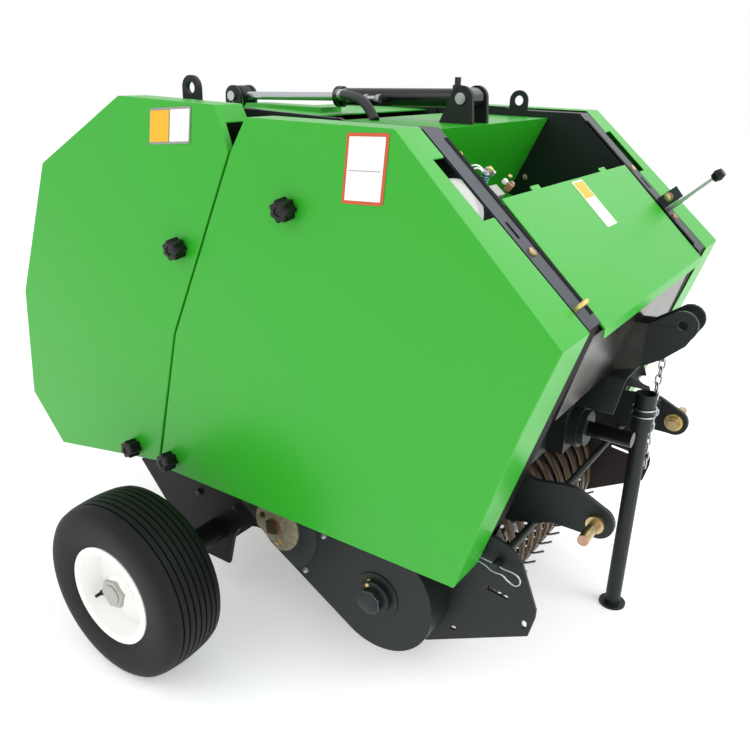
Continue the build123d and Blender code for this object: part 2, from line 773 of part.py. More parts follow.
with BuildPart() as barrel:
    with BuildSketch(ram_plane(BARREL_START)):
        Circle(BARREL_R)
    extrude(amount=BARREL_L - BARREL_START)
    with BuildSketch(ram_plane(BARREL_L)):
        Circle(GLAND_R)
    extrude(amount=GLAND_L)
    elbow_run = (Vector(*HOSE_PATH[1]) - Vector(*HOSE_PATH[0])).normalized()
    elbow_start = Vector(*HOSE_PATH[0]) - elbow_run * HOSE_ELBOW_L
    rod_bar(pin_origin + ram_axis * (BARREL_L + GLAND_L / 2), elbow_start, HOSE_NECK_R)
    across(CLEVIS_PIN, BARREL_EYE_R, -BARREL_EYE_HALF, BARREL_EYE_HALF)
    across(CLEVIS_PIN, PIN_R + PIN_GAP, -BARREL_EYE_HALF, BARREL_EYE_HALF, Mode.SUBTRACT)
    with BuildSketch(ram_plane(ROD_TAIL - ROD_BORE_DEPTH)):
        Circle(ROD_R + ROD_GAP)
    extrude(amount=BARREL_L + GLAND_L - ROD_TAIL + ROD_BORE_DEPTH, mode=Mode.SUBTRACT)
    for port_r, port_h in ((PORT_R, PORT_H), (PORT_SEAT_R, PORT_SEAT_H)):
        with BuildSketch(Plane.XY.offset(CLEVIS_PIN[1])):
            with Locations((CLEVIS_PIN[0] - PORT_BACK, 0)):
                Circle(port_r)
        extrude(amount=port_h)
    rod_bar(elbow_start, HOSE_PATH[0], HOSE_ELBOW_R)
    rod_bar(*HOSE_FERRULE, HOSE_FERRULE_R)
save(barrel.part, "cylinder_barrel")
with BuildPart() as rod:
    with BuildSketch(ram_plane(ROD_TAIL)):
        Circle(ROD_R)
    extrude(amount=reach.length - ROD_EYE_R + ROD_ROOT - ROD_TAIL)
    across(ROD_EYE, ROD_EYE_R, -ROD_EYE_HALF, ROD_EYE_HALF)
    across(ROD_EYE, ROD_PIN_R + ROD_PIN_PLAY, -ROD_EYE_HALF, ROD_EYE_HALF, Mode.SUBTRACT)
save(rod.part, "cylinder_rod")

# Clevis on the top sheet
with BuildPart() as clevis:
    for y_out in (CLEVIS_HALF + LUG_T, -CLEVIS_HALF):
        with BuildSketch(side_plane(y_out)):
            polygon(
                (CLEVIS_PIN[0] + CLEVIS_BASE[0], SHEET_Z),
                (CLEVIS_PIN[0] + CLEVIS_BASE[1], SHEET_Z),
                ring_point(CLEVIS_PIN, LUG_R, 0),
                ring_point(CLEVIS_PIN, LUG_R, CLEVIS_NECK_ANGLE),
            )
            with Locations(CLEVIS_PIN):
                Circle(LUG_R)
        extrude(amount=LUG_T)
    pin_half = CLEVIS_HALF + LUG_T + PIN_TAIL
    across(CLEVIS_PIN, PIN_R, -pin_half, pin_half)
    across(CLEVIS_PIN, PIN_HEAD_R, PIN_TAIL - PIN_HEAD_T - pin_half, PIN_TAIL - pin_half)
save(clevis.part, "cylinder_clevis")

# Top sheet, bent down into the twine box
with BuildPart() as top_sheet:
    with BuildSketch(side_plane(CHAMBER_HALF)):
        with BuildLine():
            Polyline(
                (seam_x(SHEET_Z, SEAM_GAP), SHEET_Z - SHEET_T / 2),
                (BOX_BACK_TOP[0], SHEET_Z - SHEET_T / 2),
                BOX_BACK_LOW,
                BOX_FLOOR_FRONT,
            )
        trace(line_width=SHEET_T)
    extrude(amount=2 * CHAMBER_HALF)
save(top_sheet.part, "top_sheet")

# Lid over the lower half of the twine box, and the rod that its knuckles turn on
lid_run = Vector(LID_LOW[0] - LID_TOP[0], LID_LOW[1] - LID_TOP[1]).normalized()
lid_down = Vector(lid_run.Y, -lid_run.X)
lid_axis = (
    LID_TOP[0] + lid_run.X * HINGE_DROP + lid_down.X * HINGE_DROP,
    LID_TOP[1] + lid_run.Y * HINGE_DROP + lid_down.Y * HINGE_DROP,
)
lid_under = SHEET_T / lid_run.X
with BuildPart() as lid:
    with BuildSketch(side_plane(LID_HALF)):
        polygon(
            LID_TOP,
            LID_LOW,
            (LID_LOW[0], LID_LOW[1] - LID_LIP),
            (LID_LOW[0] - SHEET_T, LID_LOW[1] - LID_LIP),
            (LID_LOW[0] - SHEET_T, LID_LOW[1] - SHEET_T),
            (LID_TOP[0], LID_TOP[1] - lid_under),
        )
    extrude(amount=2 * LID_HALF)
    for y in KNUCKLES:
        knuckle_from = y - KNUCKLE_L / 2
        knuckle_to = y + KNUCKLE_L / 2
        with BuildSketch(side_plane(knuckle_to)):
            polygon(
                LID_TOP,
                (LID_TOP[0] - LID_TAB * lid_run.X, LID_TOP[1] - LID_TAB * lid_run.Y),
                (LID_TOP[0] - LID_TAB * lid_run.X, LID_TOP[1] - LID_TAB * lid_run.Y - lid_under),
                (LID_TOP[0], LID_TOP[1] - lid_under),
            )
        extrude(amount=KNUCKLE_L)
        across(lid_axis, HINGE_R + KNUCKLE_T, knuckle_from, knuckle_to)
        across(lid_axis, HINGE_R + HINGE_GAP, knuckle_from, knuckle_to, Mode.SUBTRACT)
save(lid.part, "lid")
with BuildPart() as lid_rod:
    across(lid_axis, HINGE_R, -CHAMBER_HALF, CHAMBER_HALF)
save(lid_rod.part, "lid_rod")

# Mast: front cross panel and the top link's two ears
lean = (MAST_TOP[0] - MAST_LOW[0]) / (MAST_TOP[1] - MAST_LOW[1])
with BuildPart() as mast:
    with BuildSketch(side_plane(CHAMBER_HALF)):
        polygon(
            MAST_LOW,
            MAST_TOP,
            (MAST_TOP[0] - MAST_T, MAST_TOP[1]),
            (MAST_LOW[0] - MAST_T, MAST_LOW[1]),
        )
    extrude(amount=2 * CHAMBER_HALF)
    for y_out in (LINK_GAP / 2 + EAR_T, -LINK_GAP / 2):
        with BuildSketch(side_plane(y_out)):
            polygon(
                MAST_LOW,
                (MAST_LOW[0] + lean * EAR_H, MAST_LOW[1] + EAR_H),
                *moved(EAR_OUTLINE, LINK_HOLE),
            )
            with Locations(LINK_HOLE):
                Circle(EAR_END_R)
                Circle(LINK_HOLE_R, mode=Mode.SUBTRACT)
        extrude(amount=EAR_T)
save(mast.part, "mast")

# Hitch frame: cross beam, lower hitch arms and the sleeve of the parking stand
with BuildPart() as hitch_frame:
    with BuildSketch(side_plane(CHAMBER_HALF)):
        with Locations(BEAM):
            Rectangle(BEAM_SIZE, BEAM_SIZE)
    extrude(amount=2 * CHAMBER_HALF)
    for y_out in (HITCH_ARM_Y + HITCH_ARM_T / 2, -HITCH_ARM_Y + HITCH_ARM_T / 2):
        with BuildSketch(side_plane(y_out)):
            polygon(*moved(ARM_ROOT, BEAM), *moved(ARM_REACH, HITCH_PIN))
            with Locations(HITCH_PIN):
                Circle(HITCH_END_R)
                Circle(HITCH_PIN_R, mode=Mode.SUBTRACT)
        extrude(amount=HITCH_ARM_T)
    with BuildSketch(Plane.XY.offset(SLEEVE_Z[0])):
        with Locations(STAND):
            Circle(SLEEVE_R)
    extrude(amount=SLEEVE_Z[1] - SLEEVE_Z[0])
    bracket_end = HITCH_ARM_Y - HITCH_ARM_T / 2
    with BuildSketch(Plane.YZ.offset(STAND[0] - SLEEVE_BRACKET_T / 2)):
        polygon(
            (STAND[1], SLEEVE_Z[0]),
            (STAND[1], SLEEVE_Z[0] + SLEEVE_BRACKET_RISE),
            (bracket_end, SLEEVE_Z[0] + SLEEVE_BRACKET_RISE),
            (bracket_end, SLEEVE_Z[0] - SLEEVE_BRACKET_DROP),
        )
    extrude(amount=SLEEVE_BRACKET_T)
    with BuildSketch(Plane.XY.offset(SLEEVE_Z[0] - SLEEVE_BRACKET_DROP)):
        with Locations(STAND):
            Circle(STAND_R + STAND_GAP)
    extrude(amount=SLEEVE_Z[1], mode=Mode.SUBTRACT)
save(hitch_frame.part, "hitch_frame")

with BuildPart() as hitch_pins:
    face = HITCH_ARM_Y + HITCH_ARM_T / 2
    for side in (-1, 1):
        ends = sorted((side * (face - HITCH_ARM_T - HITCH_PIN_IN), side * (face + HITCH_PIN_L)))
        across(HITCH_PIN, HITCH_PIN_R, *ends)
        collar = sorted((side * face, side * (face + HITCH_COLLAR_T)))
        across(HITCH_PIN, HITCH_COLLAR_R, *collar)
        nut = sorted((side * (face - HITCH_ARM_T), side * (face - HITCH_ARM_T - HITCH_NUT_T)))
        with BuildSketch(side_plane(nut[1])):
            with Locations(HITCH_PIN):
                RegularPolygon(HITCH_NUT_R, 6, major_radius=False)
        extrude(amount=HITCH_NUT_T)
save(hitch_pins.part, "hitch_pins")

# Gearbox and input shaft, facing forward
beam_face = BEAM[0] + BEAM_SIZE / 2
with BuildPart() as gearbox:
    with BuildSketch(Plane.YZ.offset(beam_face)):
        with Locations((0, DRIVE_Z)):
            Rectangle(GEARBOX_W, GEARBOX_W)
    extrude(amount=GEARBOX_L)
    with BuildSketch(Plane.YZ.offset(beam_face + GEARBOX_L)):
        with Locations((0, DRIVE_Z)):
            Circle(NECK_R)
    extrude(amount=NECK_L)
    with BuildSketch(Plane.YZ.offset(beam_face + GEARBOX_L + NECK_L)):
        with Locations((0, DRIVE_Z)):
            Circle(FLANGE_R)
    extrude(amount=FLANGE_X - beam_face - GEARBOX_L - NECK_L)
save(gearbox.part, "gearbox")
with BuildPart() as input_shaft:
    with BuildSketch(Plane.YZ.offset(FLANGE_X)):
        with Locations((0, DRIVE_Z)):
            Circle(INPUT_R)
    extrude(amount=SHAFT_END - FLANGE_X)
save(input_shaft.part, "input_shaft")

# Hood over the input shaft
with BuildPart() as hood:
    with BuildSketch(Plane.YZ.offset(HOOD_X)):
        with BuildLine():
            Polyline(
                (-HOOD_SIDE[0], HOOD_SIDE[1]),
                (-HOOD_TOP_HALF, MAST_LOW[1] - SHEET_T / 2),
                (HOOD_TOP_HALF, MAST_LOW[1] - SHEET_T / 2),
                HOOD_SIDE,
            )
        trace(line_width=SHEET_T)
    extrude(amount=HOOD_L)
    with BuildSketch(Plane.XY.offset(SLEEVE_Z[0])):
        with Locations(STAND):
            Circle(STAND_R + BODY_GAP)
    extrude(amount=MAST_LOW[1] - SLEEVE_Z[0] + SHEET_T, mode=Mode.SUBTRACT)
save(hood.part, "drive_hood")

# Parking stand
with BuildPart() as stand_leg:
    with BuildSketch(Plane.XY):
        with Locations(STAND):
            Circle(FOOT_R)
    extrude(amount=FOOT_T)
    with BuildSketch(Plane.XY.offset(FOOT_T)):
        with Locations(STAND):
            Circle(STAND_R)
    extrude(amount=SLEEVE_Z[1] - FOOT_T - LEG_BELOW_SLEEVE_TOP)
save(stand_leg.part, "stand_leg")

# Pick-up frame, its tie bar clear of the tines' tips
tie_bar = ring_point(REEL, TINE_TIP_R + TINE_CLEAR + HEEL_BAR_R, HEEL_BAR_TURN)
with BuildPart() as pickup_frame:
    for side in (-1, 1):
        wall = sorted((side * PICKUP_HALF, side * (PICKUP_HALF + PICKUP_T)))
        with BuildSketch(side_plane(wall[1])):
            polygon(*PICKUP_WALL)
            with Locations(REEL):
                Circle(SHAFT_R + SHAFT_GAP, mode=Mode.SUBTRACT)
            with Locations(PICKUP_SLOT):
                SlotOverall(*PICKUP_SLOT_SIZE, rotation=PICKUP_SLOT_TILT, mode=Mode.SUBTRACT)
            for spot, turn in PICKUP_OVALS:
                with Locations(spot):
                    SlotOverall(*PICKUP_OVAL_SIZE, rotation=turn, mode=Mode.SUBTRACT)
        extrude(amount=PICKUP_T)
        pin = sorted((side * PICKUP_HALF, side * (PICKUP_HALF + PICKUP_T + PICKUP_PIN_L)))
        across(PICKUP_PIN, PICKUP_PIN_R, *pin)
        pad = sorted((side * (CHAMBER_HALF + PLATE_T), side * PICKUP_HALF))
        for x in PICKUP_PAD_XS:
            with BuildSketch(side_plane(pad[1])):
                with Locations((x, PICKUP_PAD_Z)):
                    Rectangle(*PICKUP_PAD)
            extrude(amount=pad[1] - pad[0])
    across(CROP_BAR, CROP_BAR_R, -PICKUP_HALF, PICKUP_HALF)
    across(tie_bar, HEEL_BAR_R, -PICKUP_HALF, PICKUP_HALF)
save(pickup_frame.part, "pickup_frame")

# Strippers: bands bent round the front of the reel, their tails bearing on two cross bars
stripper_pitch = 2 * CHAMBER_HALF / STRIPPERS
stripper_out_r = STRIPPER_R + STRIPPER_T
band_half = (STRIPPERS - 1) / 2
band_ys = [stripper_pitch * (number - band_half) for number in range(STRIPPERS)]
tine_ys = [y + stripper_pitch / 2 for y in band_ys[:-1]]
band_bends = range(90, -91, -STRIPPER_STEP)
with BuildPart() as band:
    with BuildSketch(side_plane(STRIPPER_W / 2)):
        polygon(
            (STRIPPER_TAIL_X, REEL[1] + STRIPPER_R),
            (STRIPPER_TAIL_X, REEL[1] + stripper_out_r),
            *[ring_point(REEL, stripper_out_r, bend) for bend in band_bends],
            (STRIPPER_HEEL_X, REEL[1] - stripper_out_r),
            (STRIPPER_HEEL_X, REEL[1] - STRIPPER_R),
            *[ring_point(REEL, STRIPPER_R, bend) for bend in reversed(band_bends)],
        )
    extrude(amount=STRIPPER_W)
tail_bar = (STRIPPER_TAIL_X + TAIL_BAR_IN, REEL[1] + STRIPPER_R - TAIL_BAR_R + BITE)
heel_bar = (STRIPPER_HEEL_X + HEEL_BAR_OUT, REEL[1] - STRIPPER_R + TAIL_BAR_R - BITE)
with BuildPart() as strippers:
    across(tail_bar, TAIL_BAR_R, -CHAMBER_HALF, CHAMBER_HALF)
    across(heel_bar, TAIL_BAR_R, -PICKUP_HALF, PICKUP_HALF)
    with Locations(*[(0, y, 0) for y in band_ys]):
        add(band.part)
save(strippers.part, "strippers")

# Pick-up reel with its tines in the gaps between the strippers
reel_half = PICKUP_HALF - BODY_GAP
with BuildPart() as tine_bar:
    across((TINE_BAR_RING_R, 0), TINE_BAR_R, -reel_half, reel_half)
    with BuildPart(mode=Mode.PRIVATE) as tine:
        with BuildSketch(side_plane(TINE_W / 2)):
            with BuildLine():
                Polyline(
                    (TINE_BAR_RING_R, 0),
                    (TINE_BEND_R, 0),
                    ring_point((0, 0), TINE_TIP_R, -TINE_TRAIL),
                )
            trace(line_width=TINE_W)
        extrude(amount=TINE_W)
    with Locations(*[(0, y, 0) for y in tine_ys]):
        add(tine.part)
with BuildPart() as reel:
    across(REEL, REEL_TUBE_R, -reel_half, reel_half)
    stub_end = PICKUP_HALF + PICKUP_T + REEL_STUB
    across(REEL, SHAFT_R, -stub_end, stub_end)
    for y_out in (-reel_half + REEL_DISC_T, reel_half):
        across(REEL, REEL_DISC_R, y_out - REEL_DISC_T, y_out)
    turns = [TINE_START + number * 360 / TINE_BARS for number in range(TINE_BARS)]
    with Locations(*[Location((REEL[0], 0, REEL[1]), (0, turn, 0)) for turn in turns]):
        add(tine_bar.part)
save(reel.part, "pickup_reel")

# Chain guard, a teardrop box over the reel's drive on the right of the pick-up
guard_in_y = -PICKUP_HALF - PICKUP_T


def guard_outline(inset):
    """Outline round two circles, as seen from the side."""
    with BuildSketch() as outline:
        with Locations(REEL):
            Circle(GUARD_R - inset)
        with Locations(GUARD_SMALL):
            Circle(GUARD_SMALL_R - inset)
        make_hull()
    return outline.sketch


with BuildPart() as guard:
    with BuildSketch(side_plane(guard_in_y)):
        add(guard_outline(0))
    extrude(amount=GUARD_OUT_Y + guard_in_y)
    with BuildSketch(side_plane(guard_in_y)):
        add(guard_outline(SHEET_T))
    extrude(amount=GUARD_OUT_Y + guard_in_y - SHEET_T, mode=Mode.SUBTRACT)
    across(REEL, HUB_RING_R, -GUARD_OUT_Y - HUB_RING_T, -GUARD_OUT_Y)
    across(REEL, HUB_HOUSING_R, -GUARD_OUT_Y - HUB_HOUSING_T, -GUARD_OUT_Y)
    with BuildSketch(side_plane(-GUARD_OUT_Y)):
        with Locations(REEL):
            RegularPolygon(HUB_CAP_R, 8)
    extrude(amount=HUB_CAP_T)
    across(GUARD_BOSS, GUARD_BOSS_R, -GUARD_OUT_Y - GUARD_BOSS_T, -GUARD_OUT_Y)
save(guard.part, "chain_guard")

# Chamber rollers: closed drums with ribs along them
roller_half = CHAMBER_HALF - ROLLER_END_GAP
with BuildPart() as roller:
    across((0, 0), ROLLER_R, -roller_half, roller_half)
    with BuildSketch(side_plane(roller_half)) as ribs:
        with PolarLocations(ROLLER_R, RIBS):
            Rectangle(2 * RIB_H, RIB_W)
        Circle(ROLLER_R - BITE, mode=Mode.SUBTRACT)
    extrude(ribs.sketch, amount=2 * roller_half)
    for end in (-1, 1):
        stub = sorted((end * roller_half, end * (CHAMBER_HALF + PLATE_T)))
        across((0, 0), SHAFT_R, *stub)
for stem, spots in (("front", front_roller_spots), ("gate", gate_roller_spots)):
    for number, spot in enumerate(spots, 1):
        with BuildPart() as placed:
            with Locations((spot[0], 0, spot[1])):
                add(roller.part)
        save(placed.part, f"{stem}_roller_{number}")


def star_points(spot):
    """Corners of a star knob's outline: two on each lobe and one in each waist."""
    corners = []
    for lobe in range(KNOB_LOBES):
        middle = lobe * 360 / KNOB_LOBES
        corners.append(ring_point(spot, KNOB_R, middle - LOBE_HALF_TURN))
        corners.append(ring_point(spot, KNOB_R, middle + LOBE_HALF_TURN))
        corners.append(ring_point(spot, KNOB_WAIST_R, middle + 180 / KNOB_LOBES))
    return corners


def knobs(spots, body):
    """Star knobs on the outside of both covers."""
    with BuildPart() as half:
        for spot in spots:
            with BuildSketch(side_plane(-FLANGE_IN_Y - KNOB_BITE)) as star:
                polygon(*star_points(spot))
            extrude(star.sketch, amount=face_y(spot[1]) + KNOB_L - FLANGE_IN_Y - KNOB_BITE)
        add(body, mode=Mode.SUBTRACT)
    with BuildPart() as both:
        add(half.part)
        mirror(half.part, about=Plane.XZ)
    return both.part


save(knobs(FRONT_KNOBS, cover_body), "cover_knobs")
save(knobs(GATE_KNOBS, gate_body), "gate_knobs")

# Twine unit in the box between the side plates, and the twine pulley outside the right one
pulley_in_y = plate_out_y - PULLEY_IN
with BuildPart() as twine_unit:
    across(TWINE_ROD, TWINE_ROD_R, -CHAMBER_HALF, CHAMBER_HALF)
    with BuildSketch(side_plane(KNOTTER_HALF)):
        with Locations(KNOTTER):
            Rectangle(*KNOTTER_SIZE)
    extrude(amount=2 * KNOTTER_HALF)
    across(PULLEY, PULLEY_R, pulley_in_y - PULLEY_T, pulley_in_y)
    across(PULLEY, PULLEY_STUB_R, pulley_in_y, plate_out_y)
save(twine_unit.part, "twine_unit")

# Hand lever on the left side plate
lever_foot = Vector(*LEVER_FOOT)
lever_axis = Vector(*LEVER_KNOB) - lever_foot
knob_half = lever_axis.normalized() * (LEVER_KNOB_L / 2)
with BuildPart() as lever:
    rod_bar(LEVER_FOOT, LEVER_KNOB, LEVER_R)
    with BuildSketch(Plane(origin=Vector(*LEVER_KNOB) - knob_half, z_dir=lever_axis.normalized())):
        Circle(LEVER_KNOB_TIP_R)
    with BuildSketch(Plane(origin=LEVER_KNOB, z_dir=lever_axis.normalized())):
        Circle(LEVER_KNOB_R)
    loft(ruled=True)
    with BuildSketch(Plane(origin=LEVER_KNOB, z_dir=lever_axis.normalized())):
        Circle(LEVER_KNOB_R)
    with BuildSketch(Plane(origin=Vector(*LEVER_KNOB) + knob_half, z_dir=lever_axis.normalized())):
        Circle(LEVER_KNOB_TIP_R)
    loft(ruled=True)
save(lever.part, "hand_lever")

# Hydraulic hose from the elbow at the cylinder's gland down to the top sheet. Each bend is as large
# as the two runs beside it allow.
hose_points = [Vector(*point) for point in HOSE_PATH]
hose_runs = [end - start for start, end in zip(hose_points, hose_points[1:])]
hose_bends = []
for before, after in zip(hose_runs, hose_runs[1:]):
    half_turn = radians(before.get_angle(after)) / 2
    hose_bends.append(HOSE_FIT * min(before.length, after.length) / tan(half_turn))
print("hose bends", [round(bend) for bend in hose_bends], "mm")
with BuildPart() as hose:
    with BuildLine():
        FilletPolyline(*HOSE_PATH, radius=hose_bends)
    with BuildSketch(Plane(origin=HOSE_PATH[0], z_dir=hose_runs[0].normalized())):
        Circle(HOSE_R)
    sweep()
    with Locations((0, 0, SHEET_Z + SHAFT_GAP)):
        Box(FAR, FAR, FAR, align=(Align.CENTER, Align.CENTER, Align.MIN), mode=Mode.INTERSECT)
save(hose.part, "hydraulic_hose")
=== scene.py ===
# %% [markdown]
# # A small round baler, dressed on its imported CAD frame
#
# The machine stands on a pale studio floor with its hitch to the right and its tailgate to the
# left. The CAD nodes give the sheets, the running gear and everything that moves. This file gives
# them their paint, rubber and steel, and adds the things that are too small for the CAD model.
# Lengths are in metres: +X points forward to the tractor, +Y to the machine's left and +Z up.

import json
from math import atan2, cos, pi, radians, sin

import bpy
from mathutils import Euler, Matrix, Vector


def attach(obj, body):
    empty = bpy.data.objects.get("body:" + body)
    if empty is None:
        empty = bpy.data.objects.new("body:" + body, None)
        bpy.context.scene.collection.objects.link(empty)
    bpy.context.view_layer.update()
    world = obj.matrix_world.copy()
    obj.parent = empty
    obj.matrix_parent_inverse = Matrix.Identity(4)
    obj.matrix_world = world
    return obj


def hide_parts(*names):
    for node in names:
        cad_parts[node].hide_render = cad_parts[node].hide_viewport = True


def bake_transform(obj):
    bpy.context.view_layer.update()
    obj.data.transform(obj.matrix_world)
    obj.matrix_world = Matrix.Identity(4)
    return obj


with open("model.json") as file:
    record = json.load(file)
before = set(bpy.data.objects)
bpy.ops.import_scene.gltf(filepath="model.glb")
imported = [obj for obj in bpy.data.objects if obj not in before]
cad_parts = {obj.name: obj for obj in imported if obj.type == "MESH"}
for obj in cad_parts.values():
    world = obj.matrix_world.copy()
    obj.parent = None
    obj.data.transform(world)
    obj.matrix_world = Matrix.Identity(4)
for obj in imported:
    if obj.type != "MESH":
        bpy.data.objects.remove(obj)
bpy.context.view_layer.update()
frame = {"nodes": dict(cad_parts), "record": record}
nodes = frame["nodes"]


# %% [markdown]
# ## Camera
#
# The camera stands at the machine's right front, a little above the covers. Its place, turn and
# focal length were fitted to points that can be read on the photograph. A camera in Blender looks
# along its own -Z, so the view direction is turned into a matrix from its right, up and back axes.

# %% Camera
FOCAL_PX = 778.92
IMAGE_PX = 750
SENSOR_MM = 36
YAW = radians(33.471)
PITCH = radians(-21.8156)
ROLL = radians(1.544)
CAMERA_PLACE = Vector((1.0433, -1.6106, 1.2878))


def aim(camera, place, yaw, pitch, roll):
    """Turn a camera to a yaw from +Y, a pitch from level and a roll about its view."""
    ahead = Vector((-sin(yaw) * cos(pitch), cos(yaw) * cos(pitch), sin(pitch)))
    right = Vector((cos(yaw), sin(yaw), 0))
    up = right.cross(ahead)
    right_rolled = right * cos(roll) + up * sin(roll)
    up_rolled = up * cos(roll) - right * sin(roll)
    turn = Matrix((right_rolled, up_rolled, -ahead)).transposed().to_4x4()
    camera.matrix_world = Matrix.Translation(place) @ turn


camera_data = bpy.data.cameras.new("studio_camera")
camera = bpy.data.objects.new("studio_camera", camera_data)
bpy.context.scene.collection.objects.link(camera)
camera_data.sensor_width = SENSOR_MM
camera_data.lens = FOCAL_PX / IMAGE_PX * SENSOR_MM
camera_data.clip_start = 0.05
aim(camera, CAMERA_PLACE, YAW, PITCH, ROLL)
bpy.context.scene.camera = camera
bpy.context.scene.view_settings.view_transform = "Standard"
print("lens", round(camera_data.lens, 2), "mm")


# %% [markdown]
# ## Colours and a helper for shader nodes
#
# A colour picked from a screen is in sRGB, and a shader works in linear light, so one function
# turns a hex code into linear values. A second one adds a node, sets its values by name and links
# it. A third makes a whole finish from them, so that each finish below stays a few short lines.

# %% Colour and node helpers


def linear(hex_code):
    """Linear RGBA of an sRGB colour such as '4CC044'."""
    channels = [int(hex_code[i : i + 2], 16) / 255 for i in (0, 2, 4)]
    bent = [c / 12.92 if c <= 0.04045 else ((c + 0.055) / 1.055) ** 2.4 for c in channels]
    return (*bent, 1)


def add_node(holder, kind, links=(), **values):
    """Add a node to a material or world, set its sockets or settings by name and link it."""
    tree = holder.node_tree
    node = tree.nodes.new(kind)
    for name, value in values.items():
        if hasattr(node, name):
            setattr(node, name, value)
        else:
            node.inputs[name.replace("_", " ")].default_value = value
    for source, name in links:
        tree.links.new(source, node.inputs[name])
    return node


def finish(name, colour, rough, metal=0.0, bumps=None, shades=None, **extra):
    """Make a finish. Bumps are their number per metre, their depth in metres and their strength.
    Shades are two colours and the share of the bumps' noise between which one turns to the other."""
    material = bpy.data.materials.new(name)
    material.use_nodes = True
    material.diffuse_color = linear(colour)
    join = material.node_tree.links.new
    shader = material.node_tree.nodes["Principled BSDF"]
    shader.inputs["Base Color"].default_value = linear(colour)
    shader.inputs["Roughness"].default_value = rough
    shader.inputs["Metallic"].default_value = metal
    for socket, value in extra.items():
        shader.inputs[socket.replace("_", " ")].default_value = value
    if bumps:
        per_metre, depth, strength = bumps
        place = add_node(material, "ShaderNodeTexCoord")
        noise = add_node(
            material, "ShaderNodeTexNoise", [(place.outputs["Object"], "Vector")], Scale=per_metre
        )
        heights = [(noise.outputs["Fac"], "Height")]
        bump = add_node(material, "ShaderNodeBump", heights, Distance=depth, Strength=strength)
        join(bump.outputs["Normal"], shader.inputs["Normal"])
    if shades:
        low, high, start, end = shades
        ramp = add_node(material, "ShaderNodeValToRGB", [(noise.outputs["Fac"], "Fac")])
        for stop, position, shade in zip(ramp.color_ramp.elements, (start, end), (low, high)):
            stop.position = position
            stop.color = linear(shade)
        join(ramp.outputs["Color"], shader.inputs["Base Color"])
    return material


# %% [markdown]
# ## Finishes
#
# Each finish starts from what the real surface is and how it was made, and then takes its colour
# and gloss from the object. A pixel of the picture is nearly 3 mm of the machine, so a grain that
# is finer than that is drawn 2 to 4 mm wide, coarse enough to break up a highlight. Noise in the
# object's own coordinates was chosen, since it needs no picture and stays put from every side.

# %% Paints
# Powder coat, sprayed dry on sheet and baked: an even, glossy green whose reflections ripple. The
# ripples are 1 to 2 mm wide on the real sheet, and 4 mm here: 260 to the metre.
green_paint = finish("green_powder_coat", "29A51F", 0.36, bumps=(260, 0.0004, 0.05))
# Satin enamel sprayed on welded plate: near black, soft in its highlights and uneven in shade. Its
# spray grain of about 1 mm is drawn 3 mm wide.
dark_paint = finish(
    "dark_frame_enamel", "1A201F", 0.42, bumps=(320, 0.0004, 0.06),
    shades=("171D1C", "1D2423", 0.35, 0.65), Specular_IOR_Level=0.3,
)
# The same enamel, painted lighter and bluer on the strips that face the sky: a painted reflection of the
# sky.
sky_reflection_enamel = finish("dark_enamel_painted_sky_reflection", "282F39", 0.42, bumps=(320, 0.0004, 0.05))
# The same again on the crop rollers, a little glossier where crop has rubbed it.
roller_paint = finish("roller_enamel", "2B302F", 0.4, bumps=(300, 0.0004, 0.06))
# Baked white enamel on pressed steel: hard and very bright. The trace of glow stands for the light
# that the sides of a white dish throw at each other.
rim_paint = finish(
    "white_rim_enamel", "F4F4F1", 0.3, bumps=(300, 0.0003, 0.04), Coat_Weight=0.1,
    Emission_Color=(1, 1, 1, 1), Emission_Strength=0.06,
)
# Enamel on a folded panel: brown-black, with lighter cloudy streaks 110 mm long that are a painted
# reflection.
panel_reflection_enamel = finish(
    "panel_enamel_painted_reflection", "1C1917", 0.28, bumps=(9, 0.0004, 0.05),
    shades=("141210", "3A3632", 0.42, 0.72),
)
# The frame enamel darkened to near black as painted shade, for parts deep under the machine where little
# light reaches; it has little gloss.
shade_darkened_enamel = finish("enamel_darkened_as_painted_shade", "0B0D0C", 0.45, Specular_IOR_Level=0.2)
# Gloss enamel on the cylinder: black, with one thin bright line along its length.
gloss_black = finish("gloss_black_enamel", "0E1011", 0.2)
# Enamel worn thin over steel: a dull brown.
rusty_paint = finish("worn_brown_enamel", "231917", 0.5, Specular_IOR_Level=0.3)
# An edge where the paint has gone and bare steel begins: a fine pale line, partly worn steel and partly a
# painted highlight on the edge.
worn_edge_and_highlight = finish("worn_edge_and_painted_highlight", "566268", 0.35, 0.6)
print("paints", len(bpy.data.materials))

# %% Metals
# Drawn steel wire and pins: neutral and bright, with a 2 mm grain that blurs the reflections.
steel = finish("drawn_steel", "B9BCC0", 0.3, 1.0, bumps=(500, 0.0002, 0.08))
# Steel turned on a lathe: satin and a little warm.
satin_steel = finish("turned_steel", "B2B3AD", 0.4, 1.0)
# Steel blackened in hot salts: blue-black with a faint gleam.
blued_steel = finish("blued_steel", "141C20", 0.3, 0.3)
# Zinc plate with a yellow passivation: pale gold, in clouds about 11 mm wide as the bath left it.
zinc = finish(
    "yellow_zinc_plate", "BFA67C", 0.36, 1.0, bumps=(90, 0.0001, 0.05),
    shades=("AC9468", "CEB890", 0.3, 0.7),
)
# The same plate gone dull from handling: khaki, in clouds about 14 mm wide.
dull_zinc = finish(
    "dull_zinc_plate", "8C846C", 0.45, 0.6, bumps=(70, 0.0001, 0.05),
    shades=("7C7560", "989078", 0.3, 0.7),
)
# Thinner passivations on small fittings: a creamy yellow and a blue-green.
cream_zinc = finish("cream_zinc_plate", "D9C27A", 0.36, 0.8)
teal_zinc = finish("blue_green_zinc_plate", "5F9A9A", 0.3, 0.9)
# Copper plate: a soft red-brown metal.
copper = finish("copper_plate", "B08E78", 0.38, 1.0)
# Cast bronze, oily and dark, and sintered brass, dull gold.
bronze = finish("dark_bronze", "4A4030", 0.42, 0.8)
brass_bush = finish("sintered_brass", "C0986A", 0.4, 0.6)
